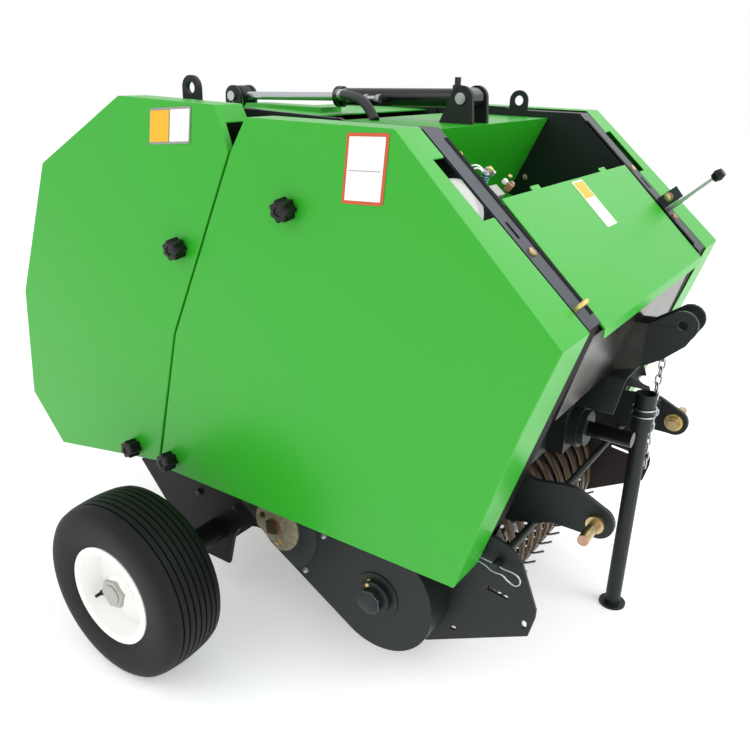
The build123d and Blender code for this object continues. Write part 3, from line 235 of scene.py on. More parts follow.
# Sand casting: matt grey with a grit of about 1 mm, drawn 2 mm wide.
grey_casting = finish("grey_casting", "A9ACA8", 0.5, 0.3, bumps=(500, 0.0003, 0.1))
# Rolled spring steel, browned by heat: half glossy, in clouds about 17 mm wide.
band_steel = finish(
    "browned_spring_steel", "35291F", 0.36, 0.75, bumps=(60, 0.0002, 0.08),
    shades=("2D221A", "46382C", 0.3, 0.7),
)
# The sheared sides of the same bands, rubbed bare by crop: bright and brassy.
band_edge = finish("sheared_steel_edge", "A5834A", 0.35, 0.9)
print("paints and metals", len(bpy.data.materials))

# %% Rubber, plastics and films
# Moulded tyre rubber: black and matt. Its fine mould grain and dust are drawn 2.4 mm wide.
tyre_rubber = finish(
    "moulded_tyre_rubber", "111213", 0.58, bumps=(420, 0.0003, 0.12),
    shades=("0E0F10", "151617", 0.35, 0.65), Specular_IOR_Level=0.24,
)
# Hose cover, wrapped in cloth as it cures: black, with a weave of about 1.4 mm.
hose_rubber = finish("wrapped_hose_rubber", "1B1C1C", 0.5, bumps=(700, 0.0003, 0.15))
# Near-black finish for painted shade: it stands for the shade in a gap, which reads as a dark line.
gap_shade_black = finish("black_painted_gap_shade", "040404", 0.6, Specular_IOR_Level=0.1)
# Moulded phenolic plastic: deep black with small sharp highlights.
knob_plastic = finish("black_phenolic", "08090A", 0.3, Specular_IOR_Level=0.3)
# Moulded white plastic, plain, and a second white whose painted glow stands for daylight on the twine disc
# and wheel rims in the notch.
white_plastic = finish("white_abs", "EFEFEB", 0.35)
glowing_white_abs = finish(
    "white_abs_painted_glow", "F2F2EE", 0.4, Emission_Color=(1, 1, 0.98, 1), Emission_Strength=0.55
)
# Printed vinyl film: flat colours under a smooth, half-glossy skin.
sign_white = finish("white_vinyl_film", "F0F0EC", 0.38)
sign_yellow = finish("yellow_vinyl_film", "EDB010", 0.38)
sign_orange = finish("orange_vinyl_film", "C4522C", 0.38)
sign_grey = finish("grey_vinyl_film", "8F918E", 0.38)
print("all finishes", len(bpy.data.materials))


# %% [markdown]
# ## Paint the CAD nodes
#
# Each node takes the finish of its slot. A glTF import leaves every triangle loose, so a Weld
# modifier joins them first. A Bevel then rounds the edges that turn more than 30 degrees, since a
# real pressed or cut edge always catches a thin line of light, and Weighted Normal keeps the flat
# faces flat. Modifiers were chosen because the node's own vertices stay as they are.

# %% Finish of each node
SLOT_FINISH = {
    "green_paint": green_paint,
    "dark_paint": dark_paint,
    "tyre": tyre_rubber,
    "rim_white": rim_paint,
    "black_plastic": knob_plastic,
    "zinc": zinc,
    "bright_steel": steel,
    "roller_steel": roller_paint,
    "hose_rubber": hose_rubber,
    "white_plastic": white_plastic,
}
SAME_POINT = 0.00001
EDGE_R = {"front_cover": 0.0025, "gate_cover": 0.0025, "lid": 0.001, "rim": 0.0015}
COMMON_EDGE_R = 0.0008


def modify(piece, kind, **settings):
    """Add a modifier with its settings."""
    modifier = piece.modifiers.new(kind.lower(), kind)
    for name, value in settings.items():
        setattr(modifier, name, value)


def soften(piece, width):
    """Round a CAD node's edges without touching its own vertices."""
    modify(piece, "WELD", merge_threshold=SAME_POINT)
    modify(piece, "BEVEL", width=width, segments=2, limit_method="ANGLE", angle_limit=radians(30))
    modify(piece, "WEIGHTED_NORMAL", keep_sharp=True)
    for polygon in piece.data.polygons:
        polygon.use_smooth = True


def repaint(piece, *finishes):
    """Replace all finishes of a piece."""
    piece.data.materials.clear()
    for material in finishes:
        piece.data.materials.append(material)


def repaint_where(piece, material, test):
    """Give one finish to the faces whose middle passes a test."""
    piece.data.materials.append(material)
    for polygon in piece.data.polygons:
        if test(polygon.center):
            polygon.material_index = len(piece.data.materials) - 1


for part in frame["record"]["subparts"]:
    piece = nodes[part["node"]]
    repaint(piece, SLOT_FINISH[part["material_slot"]])
    widths = [width for stem, width in EDGE_R.items() if part["node"].startswith(stem)]
    soften(piece, widths[0] if widths else COMMON_EDGE_R)
print("painted", len(nodes), "nodes")


# %% [markdown]
# ## Modelling helpers
#
# Most shapes start from a primitive that is then shaped in edit mode. A few helpers keep that
# readable. One clears the selection, one makes a flat outline and one extrudes it, one turns a
# profile round an axis as on a lathe, one bends a wire, and one finishes a piece and hangs it on
# its body. Small parts share them, since real ones too are cut, turned and bent.

# %% Modelling helpers
FACING_RIGHT = (pi / 2, 0, 0)
ACROSS_AXIS = (0, 1, 0)


def deselect():
    """Leave edit mode and clear the selection."""
    if bpy.context.mode != "OBJECT":
        bpy.ops.object.mode_set(mode="OBJECT")
    bpy.ops.object.select_all(action="DESELECT")


def settle(piece, name, material, body="frame", smooth=35):
    """Leave edit mode, put the place into the mesh, name, paint and hang it on its body."""
    deselect()
    bpy.context.view_layer.objects.active = piece
    piece.select_set(True)
    for modifier in list(piece.modifiers):
        bpy.ops.object.modifier_apply(modifier=modifier.name)
    bpy.ops.object.transform_apply(location=True, rotation=True, scale=True)
    bpy.ops.object.shade_smooth_by_angle(angle=radians(smooth))
    piece.name = name
    piece.data.name = name
    if material is not None:
        repaint(piece, material)
    if body is not None:
        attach(piece, body)
    deselect()
    return piece


def outline(corners, radius, turn=(0, 0, 0), place=(0, 0, 0)):
    """Flat filled outline with evenly spaced corners, facing up unless it is turned."""
    deselect()
    bpy.ops.mesh.primitive_circle_add(
        vertices=corners, radius=radius, fill_type="NGON", rotation=turn, location=place
    )
    bpy.ops.object.transform_apply(location=True, rotation=True, scale=True)
    return bpy.context.object


def extrude(move):
    """Extrude what is selected in edit mode."""
    bpy.ops.mesh.extrude_region_move(TRANSFORM_OT_translate={"value": move})


def close_up():
    """Turn all faces outwards and leave edit mode."""
    bpy.ops.mesh.select_all(action="SELECT")
    bpy.ops.mesh.normals_make_consistent(inside=False)
    bpy.ops.object.mode_set(mode="OBJECT")


def thicken(piece, move, chamfer=0.0):
    """Extrude a flat outline into a solid and chamfer its far rim if asked."""
    bpy.ops.object.mode_set(mode="EDIT")
    bpy.ops.mesh.select_all(action="SELECT")
    extrude(move)
    if chamfer:
        bpy.ops.mesh.bevel(offset=chamfer, segments=2)
    close_up()
    return piece


def turned(profile, centre=(0, 0, 0), axis=ACROSS_AXIS, steps=72):
    """Turn a profile of (distance along the axis, radius) pairs round an axis through centre."""
    along = Vector(axis).normalized()
    out = along.orthogonal().normalized()
    points = [Vector(centre) + along * d + out * r for d, r in profile]
    deselect()
    bpy.ops.mesh.primitive_plane_add(size=0.001, location=points[0])
    piece = bpy.context.object
    bpy.ops.object.transform_apply(location=True)
    bpy.ops.object.mode_set(mode="EDIT")
    bpy.ops.mesh.select_mode(type="VERT")
    bpy.ops.mesh.select_all(action="SELECT")
    bpy.ops.mesh.merge(type="CENTER")
    for here, there in zip(points, points[1:]):
        bpy.ops.mesh.extrude_vertices_move(TRANSFORM_OT_translate={"value": there - here})
    bpy.ops.mesh.select_all(action="SELECT")
    bpy.ops.mesh.spin(steps=steps, angle=2 * pi, center=centre, axis=along)
    bpy.ops.mesh.select_all(action="SELECT")
    bpy.ops.mesh.remove_doubles(threshold=SAME_POINT)
    close_up()
    return piece


def turned_ring(inner, outer, height, centre, axis=ACROSS_AXIS, steps=40):
    """Square-edged ring that stands on centre along an axis."""
    profile = [(0, inner), (0, outer), (height, outer), (height, inner), (0, inner)]
    return turned(profile, centre, axis, steps)


def lay_spline(shape, points, steps, closed=False):
    """Give a curve one smooth spline with these control points."""
    shape.dimensions = "3D"
    spline = shape.splines.new("NURBS")
    spline.points.add(len(points) - 1)
    for point, place in zip(spline.points, points):
        point.co = (*place, 1)
    spline.order_u = 3
    spline.use_endpoint_u = not closed
    spline.use_cyclic_u = closed
    spline.resolution_u = steps


def wire(points, radius, closed=False, facets=4):
    """Round wire along points, made as a curve and turned into a mesh."""
    deselect()
    bpy.ops.curve.primitive_nurbs_path_add(location=(0, 0, 0))
    shape = bpy.context.object.data
    shape.splines.clear()
    lay_spline(shape, points, 6, closed)
    shape.bevel_depth = radius
    shape.bevel_resolution = facets
    shape.use_fill_caps = not closed
    bpy.ops.object.convert(target="MESH")
    return bpy.context.object


def joined(*pieces):
    """Join several pieces into the first."""
    deselect()
    for piece in pieces:
        piece.select_set(True)
    bpy.context.view_layer.objects.active = pieces[0]
    bpy.ops.object.join()
    return bpy.context.object


def copy_to(piece, name, turn, body):
    """Copy a finished piece, mesh and all, moved by a matrix."""
    twin = piece.copy()
    twin.data = piece.data.copy()
    bpy.context.scene.collection.objects.link(twin)
    twin.parent = None
    twin.matrix_world = Matrix.Identity(4)
    twin.data.transform(turn)
    if turn.to_3x3().determinant() < 0:
        twin.data.flip_normals()
    twin.name = name
    twin.data.name = name
    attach(twin, body)
    return twin


print("helpers ready")


# %% [markdown]
# ## Tyres
#
# A small implement tyre has a rounded carcass, smooth side walls and a tread of fine grooves that
# run right round it. The grooves could be cut one by one, but the form repeats along the circle.
# So only its section is drawn, with each groove as four points, and spun round the axle.

# %% Tyres
AXLE = Vector((-0.182, -0.703, 0.2075))
TYRE_R = 0.2075
TYRE_HALF_W = 0.075
BEAD_R = 0.115
BEAD_HALF_W = 0.066
CROWN_HALF_W = 0.057
CROWN_DROP = 0.0045
GROOVES = 7
GROOVE_W = 0.0032
GROOVE_DEPTH = 0.0045
GROOVE_SLANT = 0.0006
WALL = [
    (BEAD_HALF_W - 0.012, 0.1035), (BEAD_HALF_W, 0.1055), (BEAD_HALF_W + 0.0005, BEAD_R),
    (0.0695, 0.122), (0.0722, 0.134), (0.0741, 0.148), (TYRE_HALF_W, 0.160), (0.0748, 0.172),
    (0.0728, 0.184), (0.0685, 0.1945), (0.0625, 0.2005),
]
MIRROR = Matrix.Scale(-1, 4, ACROSS_AXIS)


def crown_r(y):
    """Radius of the gently rounded tread at a distance from the tyre's middle."""
    return TYRE_R - CROWN_DROP * (y / CROWN_HALF_W) ** 2


tread = []
for number in range(GROOVES):
    middle = (number - (GROOVES - 1) / 2) * 2 * (CROWN_HALF_W - 0.004) / GROOVES
    for y, drop in (
        (middle - GROOVE_W / 2 - GROOVE_SLANT, 0),
        (middle - GROOVE_W / 2, GROOVE_DEPTH),
        (middle + GROOVE_W / 2, GROOVE_DEPTH),
        (middle + GROOVE_W / 2 + GROOVE_SLANT, 0),
    ):
        tread.append((y, crown_r(y) - drop))
section = [(-y, r) for y, r in WALL] + tread + [(y, r) for y, r in reversed(WALL)]
section.append(section[0])
tyre = turned(section, AXLE, steps=112)
settle(tyre, "tyre_right_rubber", tyre_rubber, "wheel_right", 32)
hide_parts("tyre_right")
tyre_left = copy_to(tyre, "tyre_left_rubber", MIRROR, "wheel_left")
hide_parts("tyre_left")
print("tyre faces", len(tyre.data.polygons))


# %% [markdown]
# ## Hub caps and valves
#
# The white rims carry a steel cap with a hexagon on the hub and a black valve. The cap is a
# chamfered hexagon with a turned face in it, as on the real one. The valve is a stepped stem that
# stands out from the disc, and a stepped stem is quickest as one turned profile.

# %% Hub caps and valves
HUB_FACE = Vector((AXLE.x, -0.765, AXLE.z))
CAP_ACROSS = 0.060
CAP_H = 0.0085
CAP_STAND = 0.0008
CAP_TURN = 0.3
CAP_FACE = [(0.004, 0.0235), (-0.0030, 0.0235), (-0.0042, 0.0222), (-0.0045, 0)]
VALVE_SPOT = (AXLE.x - 0.064, -0.716, AXLE.z - 0.036)
VALVE_STEM = [
    (0.002, 0.009), (-0.003, 0.009), (-0.005, 0.0062), (-0.031, 0.0062), (-0.033, 0.0042),
    (-0.046, 0.0036), (-0.047, 0),
]


def hexagon(across, height, chamfer):
    """Hexagon prism on the origin, its upper edges chamfered."""
    return thicken(outline(6, across / 2 / cos(pi / 6)), (0, 0, height), chamfer)


cap_face = turned(CAP_FACE, HUB_FACE, steps=56)
cap_nut = hexagon(CAP_ACROSS, CAP_H + CAP_STAND, 0.0014)
cap_turn = Euler((pi / 2, CAP_TURN, 0)).to_matrix().to_4x4()
cap_nut.data.transform(Matrix.Translation(HUB_FACE + Vector((0, CAP_H, 0))) @ cap_turn)
cap = settle(joined(cap_face, cap_nut), "hub_cap_right", satin_steel, "wheel_right")
copy_to(cap, "hub_cap_left", MIRROR, "wheel_left")
valve = turned(VALVE_STEM, VALVE_SPOT, steps=20)
settle(valve, "valve_right", knob_plastic, "wheel_right", 40)
copy_to(valve, "valve_left", MIRROR, "wheel_left")
print("hub cap across flats", round(CAP_ACROSS * 1000), "mm")


# %% [markdown]
# ## Star knobs
#
# Each cover is held by two black star knobs. A star knob is a disc with a waist between its
# lobes. It could be cut from a disc, but a circle drawn in and out by a cosine gives the rounded
# lobes at once. It is extruded to its thickness, then narrowed in a few steps that round its top
# and sink its middle. One is modelled and copied to eight places.

# %% Star knobs
KNOB_R = 0.022
KNOB_T = 0.026
LOBES = 7
KNOB_WAIST = 0.2
KNOB_STEPS = (
    (KNOB_T, 1), (0.0016, 0.96), (0.0010, 0.94), (0.0004, 0.90), (0, 0.55), (-0.002, 0.92), (0, 0.5),
)
KNOB_STAND = 0.004
KNOB_SPOTS = (
    ("frame", "cover_knobs", ((0.118, 1.039), (-0.246, 0.410))),
    ("gate", "gate_knobs", ((-0.158, 0.930), (-0.373, 0.405))),
)
COVER_TOP = (1.189, 0.490)
CREASE = (0.747, 0.548)
COVER_LOW = (0.374, 0.511)
LEAN_ABOVE_CREASE = radians(7.5)
LEAN_BELOW_CREASE = radians(-5.7)


def face_y(z):
    """Distance of a cover's outer face from the middle at a height."""
    end = COVER_TOP if z > CREASE[0] else COVER_LOW
    return CREASE[1] + (end[1] - CREASE[1]) * (z - CREASE[0]) / (end[0] - CREASE[0])


def star_knob():
    """One knob at the origin, its top towards -Y."""
    piece = outline(LOBES * 10, KNOB_R, FACING_RIGHT)
    for vertex in piece.data.vertices:
        wave = cos(LOBES * atan2(vertex.co.z, vertex.co.x))
        vertex.co *= 1 - KNOB_WAIST * (1 - wave) / 2
    bpy.ops.object.mode_set(mode="EDIT")
    bpy.ops.mesh.select_mode(type="FACE")
    bpy.ops.mesh.select_all(action="SELECT")
    for rise, narrowing in KNOB_STEPS:
        extrude((0, -rise, 0))
        bpy.ops.transform.resize(value=(narrowing, 1, narrowing), center_override=(0, 0, 0))
    close_up()
    return piece


knob = settle(star_knob(), "knob_pattern", knob_plastic, smooth=50)
for body, node, spots in KNOB_SPOTS:
    for number, (x, z) in enumerate(spots, 1):
        lean = LEAN_ABOVE_CREASE if z > CREASE[0] else LEAN_BELOW_CREASE
        place = Matrix.Translation((x, -face_y(z) - KNOB_STAND, z)) @ Matrix.Rotation(lean, 4, "X")
        for side, mirror in (("right", Matrix.Identity(4)), ("left", MIRROR)):
            twin = copy_to(knob, f"{node}_{side}_{number}", mirror @ place, body)
            if number == 1 and side == "right":
                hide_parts(node)
print("knob faces", len(knob.data.polygons))
bpy.data.objects.remove(knob)


# %% [markdown]
# ## Hardware patterns
#
# Bolts, nuts and pins repeat all over the machine. A real bolt head is a chamfered hexagon on a
# loose washer, and a nut also shows the end of the bolt's thread. Each pattern is modelled once,
# standing on the origin with its head towards +Z. A matrix that turns +Z to the direction it points
# in then copies it to each place, which costs one line a bolt.

# %% Bolt and nut patterns
WASHER_T = 0.0018
WASHER_R = 0.0105
SHANK_R = 0.005
WRENCH = 0.016
HEX_CHAMFER = 0.0009
THREAD_PITCH = 0.0012
UP = (0, 0, 1)


def lifted(piece, height):
    """Shift a piece up before it is joined to another."""
    piece.data.transform(Matrix.Translation((0, 0, height)))
    return piece


def aimed(spot, direction, spin=0.0, size=1.0):
    """Matrix that takes a pattern to a spot, its +Z along a direction."""
    turn = Vector(direction).to_track_quat("Z", "Y").to_matrix().to_4x4()
    grow = Matrix.Diagonal((size, size, size, 1))
    return Matrix.Translation(spot) @ turn @ Matrix.Rotation(spin, 4, "Z") @ grow


def washer():
    """Flat ring with eased edges, lying on the origin."""
    ease = WASHER_T / 4
    profile = [(0, SHANK_R), (0, WASHER_R), (WASHER_T - ease, WASHER_R)]
    profile += [(WASHER_T, WASHER_R - ease), (WASHER_T, SHANK_R), (0, SHANK_R)]
    return turned(profile, axis=UP, steps=28)


head = lifted(hexagon(WRENCH, 0.0065, HEX_CHAMFER), WASHER_T)
bolt = settle(joined(washer(), head), "bolt_pattern", zinc, None, 30)
thread = [(0.0, SHANK_R)]
for turn in range(5):
    foot = THREAD_PITCH * turn + 0.0004
    thread += [(foot, SHANK_R), (foot + 0.0004, SHANK_R - 0.0006)]
thread += [(0.0068, SHANK_R - 0.0003), (0.0078, SHANK_R - 0.0012), (0.0078, 0)]
body_of_nut = lifted(hexagon(WRENCH, 0.008, HEX_CHAMFER), WASHER_T)
thread_end = lifted(turned(thread, axis=UP, steps=20), WASHER_T + 0.006)
nut = settle(joined(washer(), body_of_nut, thread_end), "nut_pattern", zinc, None, 30)


def fasten(pattern, name, spot, direction, size=1.0, material=None):
    """Copy a fastener pattern to a spot on the frame."""
    twin = copy_to(pattern, name, aimed(spot, direction, 0.3, size), "frame")
    if material is not None:
        repaint(twin, material)


print("bolt faces", len(bolt.data.polygons), "nut faces", len(nut.data.polygons))


# %% [markdown]
# ## Bolts on the frame
#
# The strips along the sloping front are held by bolts square to the slope. The chain guard and
# the legs of the axle carry bolts that point outwards. Two points give the slope's line, so a bolt
# on it needs only its own x and y.

# %% Bolts on the frame
SLOPE_TOP = Vector((0.327, 0, 1.189))
NOSE = Vector((0.668, 0, 0.888))
down_slope = (NOSE - SLOPE_TOP).normalized()
off_slope = Vector((-down_slope.z, 0, down_slope.x))
STRIP_Y = 0.385
STRIP_SINK = -0.0045
GUARD_Y = -0.466
LEG_Y = 0.445
TO_THE_RIGHT = (0, -1, 0)


def on_slope(x, y, lift=0.0):
    """Point of the sloping front at x and y, raised square to it."""
    share = (x - SLOPE_TOP.x) / (NOSE.x - SLOPE_TOP.x)
    point = SLOPE_TOP.lerp(NOSE, share)
    return Vector((point.x, y, point.z)) + off_slope * lift


fasten(bolt, "strip_bolt_right", on_slope(0.543, -STRIP_Y, STRIP_SINK), off_slope)
fasten(bolt, "strip_bolt_left", on_slope(0.470, STRIP_Y, STRIP_SINK), off_slope)
for number, (x, z) in enumerate(((0.114, 0.222), (0.165, 0.332)), 1):
    fasten(bolt, f"guard_bolt_{number}", (x, GUARD_Y, z), TO_THE_RIGHT, 0.62, steel)
for side, out in (("right", -1), ("left", 1)):
    corners = ((-0.116, 0.352), (-0.238, 0.352), (-0.116, 0.292), (-0.238, 0.292))
    for number, (x, z) in enumerate(corners, 1):
        spot = (x, out * LEG_Y, z)
        fasten(bolt, f"leg_bolt_{side}_{number}", spot, (0, out, 0), 0.9, dark_paint)
print("bolts on the frame", 2 + 2 + 2 * len(corners))


# %% [markdown]
# ## Signs
#
# The signs are printed films on the paint, left blank here. Each is a rounded rectangle half a
# millimetre thick, laid on the sheet by its middle, its right and its up. A border could be a
# second finish on one film, but a smaller film on a larger one is simpler and keeps its edge crisp.

# %% Signs
FILM_T = 0.0005
ON_PAINT = 0.0004
ON_FILM = 0.0010
ON_TWO_FILMS = 0.0016


def film(name, middle, right, up, width, height, material, body, corner):
    """Rounded film on a surface, given its middle, its right and its up."""
    right, up = Vector(right).normalized(), Vector(up).normalized()
    deselect()
    bpy.ops.mesh.primitive_plane_add(size=1)
    piece = bpy.context.object
    bpy.ops.transform.resize(value=(width, height, 1))
    bpy.ops.object.transform_apply(scale=True)
    bpy.ops.object.mode_set(mode="EDIT")
    bpy.ops.mesh.select_all(action="SELECT")
    bpy.ops.mesh.bevel(affect="VERTICES", offset=corner, segments=5)
    thicken(piece, (0, 0, FILM_T))
    turn = Matrix((right, up, right.cross(up))).transposed().to_4x4()
    piece.data.transform(Matrix.Translation(middle) @ turn)
    settle(piece, name, material, body, 12)


def on_cover(x, z, lift):
    """Point a little off the right covers' outer face."""
    return Vector((x, -face_y(z) - lift, z))


cover_up = (on_cover(0, 1.15, 0) - on_cover(0, 0.80, 0)).normalized()
front_right = Vector((cos(radians(3)), 0, sin(radians(3))))
rear_right = Vector((cos(radians(5)), 0, sin(radians(5))))
for name, x, z, lift, right, width, height, coat, body, corner in (
    ("sign_front", 0.277, 1.121, ON_PAINT, front_right, 0.086, 0.118, sign_orange, "frame", 0.004),
    ("sign_front_white", 0.277, 1.121, ON_FILM, front_right, 0.074, 0.106, sign_white, "frame", 0.002),
    ("sign_front_line", 0.277, 1.118, ON_TWO_FILMS, front_right, 0.066, 0.0012, sign_grey, "frame", 0.0002),
    ("sign_rear", -0.200, 1.162, ON_PAINT, rear_right, 0.118, 0.070, sign_grey, "gate", 0.004),
    ("sign_rear_white", -0.172, 1.1645, ON_FILM, rear_right, 0.054, 0.061, sign_white, "gate", 0.002),
    ("sign_rear_yellow", -0.229, 1.1595, ON_FILM, rear_right, 0.055, 0.061, sign_yellow, "gate", 0.002),
):
    film(name, on_cover(x, z, lift), right, cover_up, width, height, coat, body, corner)
LID_TOP = Vector((0.461, 0, 1.074))
LID_LOW = Vector((0.672, 0, 0.880))
lid_down = (LID_LOW - LID_TOP).normalized()
off_lid = Vector((-lid_down.z, 0, lid_down.x))
LID_SIGN_X = 0.510
lid_sign_z = LID_TOP.z + (LID_SIGN_X - LID_TOP.x) * lid_down.z / lid_down.x
lid_sign = Vector((LID_SIGN_X, 0.006, lid_sign_z + FILM_T))
film("sign_lid", lid_sign, ACROSS_AXIS, -lid_down, 0.060, 0.120, sign_white, "lid", 0.004)
upper_part = lid_sign - lid_down * 0.035 + off_lid * FILM_T
film("sign_lid_yellow", upper_part, ACROSS_AXIS, -lid_down, 0.052, 0.042, sign_yellow, "lid", 0.002)
print("front sign lies", round(face_y(1.121) * 1000), "mm from the middle")


# %% [markdown]
# ## Stripper bands
#
# The strippers are steel bands rolled round the reel, with their long edges turned in a little so
# that hay slides over them. They could be extruded from a flat section, but a grid wrapped along
# the band's path takes the crown across it as well. The grid is then thickened. One band is
# modelled, and fourteen copies are joined with the two bars that carry them.

# %% Stripper bands
REEL = Vector((0.306, 0, 0.241))
BAND_R = 0.184
BAND_W = 0.030
BAND_T = 0.004
BAND_CROWN = 0.005
BANDS = 14
BAND_PITCH = 0.700 / BANDS
TAIL_X = -0.070
HEEL_X = 0.125
CELLS_ACROSS = 8
CELLS_ALONG = 72
CARRIER_R = 0.015
CARRIER_OFF = 0.168


def band_path(share):
    """Point and outward direction along a band, from its tail over the front to its heel."""
    top, arc, low = REEL.x - TAIL_X, pi * BAND_R, REEL.x - HEEL_X
    way = share * (top + arc + low)
    if way < top:
        return Vector((TAIL_X + way, 0, REEL.z + BAND_R)), Vector((0, 0, 1))
    if way < top + arc:
        turn = pi / 2 - (way - top) / BAND_R
        out = Vector((cos(turn), 0, sin(turn)))
        return REEL + out * BAND_R, out
    return Vector((REEL.x - (way - top - arc), 0, REEL.z - BAND_R)), Vector((0, 0, -1))


def carrier(name, x, z, half, chamfer=0.0015):
    """Round bar across the machine with eased ends."""
    profile = [(-half, 0), (-half, CARRIER_R - chamfer), (chamfer - half, CARRIER_R)]
    profile += [(half - chamfer, CARRIER_R), (half, CARRIER_R - chamfer), (half, 0)]
    return settle(turned(profile, (x, 0, z), steps=36), name, dark_paint)


deselect()
bpy.ops.mesh.primitive_grid_add(x_subdivisions=CELLS_ALONG, y_subdivisions=CELLS_ACROSS, size=1)
band = bpy.context.object
for vertex in band.data.vertices:
    place, out = band_path(vertex.co.x + 0.5)
    side = vertex.co.y * 2
    drop = BAND_CROWN * side**4
    vertex.co = place + out * (BAND_T / 2 - drop) + Vector((0, side * BAND_W / 2, 0))
modify(band, "SOLIDIFY", thickness=BAND_T, offset=-1)
modify(band, "BEVEL", width=0.0008, segments=2)
settle(band, "stripper_pattern", band_steel, None, 40)
band.data.materials.append(band_edge)
for polygon in band.data.polygons:
    if abs(polygon.normal.y) > 0.75:
        polygon.material_index = 1
bands = []
for number in range(BANDS):
    shift = Matrix.Translation((0, BAND_PITCH * (number - (BANDS - 1) / 2), 0))
    bands.append(copy_to(band, f"band_{number}", shift, "frame"))
tail_bar = carrier("tail_bar", TAIL_X + 0.020, REEL.z + CARRIER_OFF, 0.350)
heel_bar = carrier("heel_bar", HEEL_X + 0.010, REEL.z - CARRIER_OFF, 0.345)
strippers = joined(*bands, tail_bar, heel_bar)
strippers.name = "stripper_bands"
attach(strippers, "frame")
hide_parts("strippers")
bpy.data.objects.remove(band)
print("stripper faces", len(strippers.data.polygons))


# %% [markdown]
# ## Pick-up reel
#
# The reel is a tube with two end discs and four tine bars. Each spring tine is one wire: two
# coils round the bar, then a leg that runs outwards and trails a little at its tip. The coil is
# what lets a tine give way when it meets a stone. A wire needs only its route, so one tine is a
# smooth curve, and the others are copied along the bars and round the reel.

# %% Pick-up reel
BAR_RING = 0.105
BARS = 4
BAR_R = 0.012
TINE_R = 0.003
COIL_R = BAR_R + TINE_R
COIL_TURNS = 2.25
COIL_PITCH = 0.0064
TINE_TIP = 0.212
TIP_TRAIL = 0.17
REEL_HALF = 0.381
STUB_HALF = 0.402
DISC_R = 0.122
DISC_T = 0.005
TINE_START = radians(20)


def spring_tine():
    """One tine at the first bar, its leg along +X and its coil round the bar."""
    points = []
    for step in range(int(COIL_TURNS * 10) + 1):
        turn = step / 10 * 2 * pi
        y = -0.009 + COIL_PITCH * step / 10
        points.append((BAR_RING + COIL_R * sin(turn), y, COIL_R * cos(turn)))
    points.append((BAR_RING + 0.030, points[-1][1] + 0.003, -0.001))
    points += [(0.160, 0, 0), (0.186, 0, 0.003)]
    points.append((TINE_TIP * cos(TIP_TRAIL), 0, TINE_TIP * sin(TIP_TRAIL)))
    return wire(points, TINE_R, facets=1)


def end_disc(y):
    """Disc of the reel with a rolled rim."""
    profile = [(y, 0), (y, DISC_R - 0.004), (y - 0.003, DISC_R - 0.001), (y - 0.003, DISC_R)]
    return turned(profile + [(y + DISC_T, DISC_R), (y + DISC_T, 0)])


tine = settle(spring_tine(), "tine_pattern", steel, None, 50)
tube = [(-REEL_HALF, 0.016), (-REEL_HALF, 0.040), (REEL_HALF, 0.040), (REEL_HALF, 0.016)]
stub = [(-STUB_HALF, 0), (-STUB_HALF, 0.013), (0.002 - STUB_HALF, 0.015)]
stub += [(STUB_HALF - 0.002, 0.015), (STUB_HALF, 0.013), (STUB_HALF, 0)]
bar = [(-REEL_HALF, 0), (-REEL_HALF, BAR_R), (REEL_HALF, BAR_R), (REEL_HALF, 0)]
reel_parts = [end_disc(-REEL_HALF), end_disc(REEL_HALF - DISC_T)]
reel_parts += [turned(tube, steps=48), turned(stub, steps=32)]
tines = []
for number in range(BARS):
    turn = Matrix.Rotation(TINE_START + number * 2 * pi / BARS, 4, "Y")
    rod = turned(bar, (BAR_RING, 0, 0), steps=24)
    rod.data.transform(turn)
    reel_parts.append(rod)
    for gap in range(BANDS - 1):
        shift = Matrix.Translation((0, BAND_PITCH * (gap + 1 - BANDS / 2), 0))
        tines.append(copy_to(tine, f"tine_{number}_{gap}", turn @ shift, "pickup_reel"))
for piece in reel_parts:
    settle(piece, "reel_piece", dark_paint, None)
reel = joined(*reel_parts, *tines)
reel.data.transform(Matrix.Translation(REEL))
reel.name = "reel_with_tines"
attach(reel, "pickup_reel")
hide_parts("pickup_reel")
bpy.data.objects.remove(tine)
print("tines", len(tines), "reel faces", len(reel.data.polygons))


# %% [markdown]
# ## Hydraulic hose
#
# A short rubber hose leaves the elbow at the cylinder's gland and bends down into the top sheet.
# A stiff hose bends in one easy curve, so its line is one smooth spline through the same points as
# the CAD tube. The cylinder swings when the tailgate opens, but the hose hangs on no body.

# %% Hydraulic hose
HOSE_R = 0.011
HOSE_ROUTE = (
    (-0.1176, -0.0342, 1.2165),
    (-0.060, -0.068, 1.219),
    (0.005, -0.097, 1.202),
    (0.0326, -0.1099, 1.1703),
)


def spline_line(points, name):
    """Points read along a smooth spline of the given control points."""
    shape = bpy.data.curves.new(name, "CURVE")
    lay_spline(shape, points, 16)
    holder = bpy.data.objects.new(name, shape)
    bpy.context.scene.collection.objects.link(holder)
    read = bpy.data.meshes.new_from_object(holder)
    line = [vertex.co.copy() for vertex in read.vertices]
    bpy.data.meshes.remove(read)
    bpy.data.objects.remove(holder)
    return line


hose_line = spline_line(HOSE_ROUTE, "hose_line")
hose = settle(wire(HOSE_ROUTE, HOSE_R, facets=7), "lift_hose", hose_rubber, None, 60)
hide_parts("hydraulic_hose")
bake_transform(hose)


# %% [markdown]
# ## Hood over the input shaft
#
# The hood is one sheet folded over the gearbox. It could be a box with a side taken off, but a
# press leaves rounded folds. So its section is a polyline whose corners are eased into arcs, swept
# forward on a grid and thickened. A round gap is cut where the parking stand slides past.

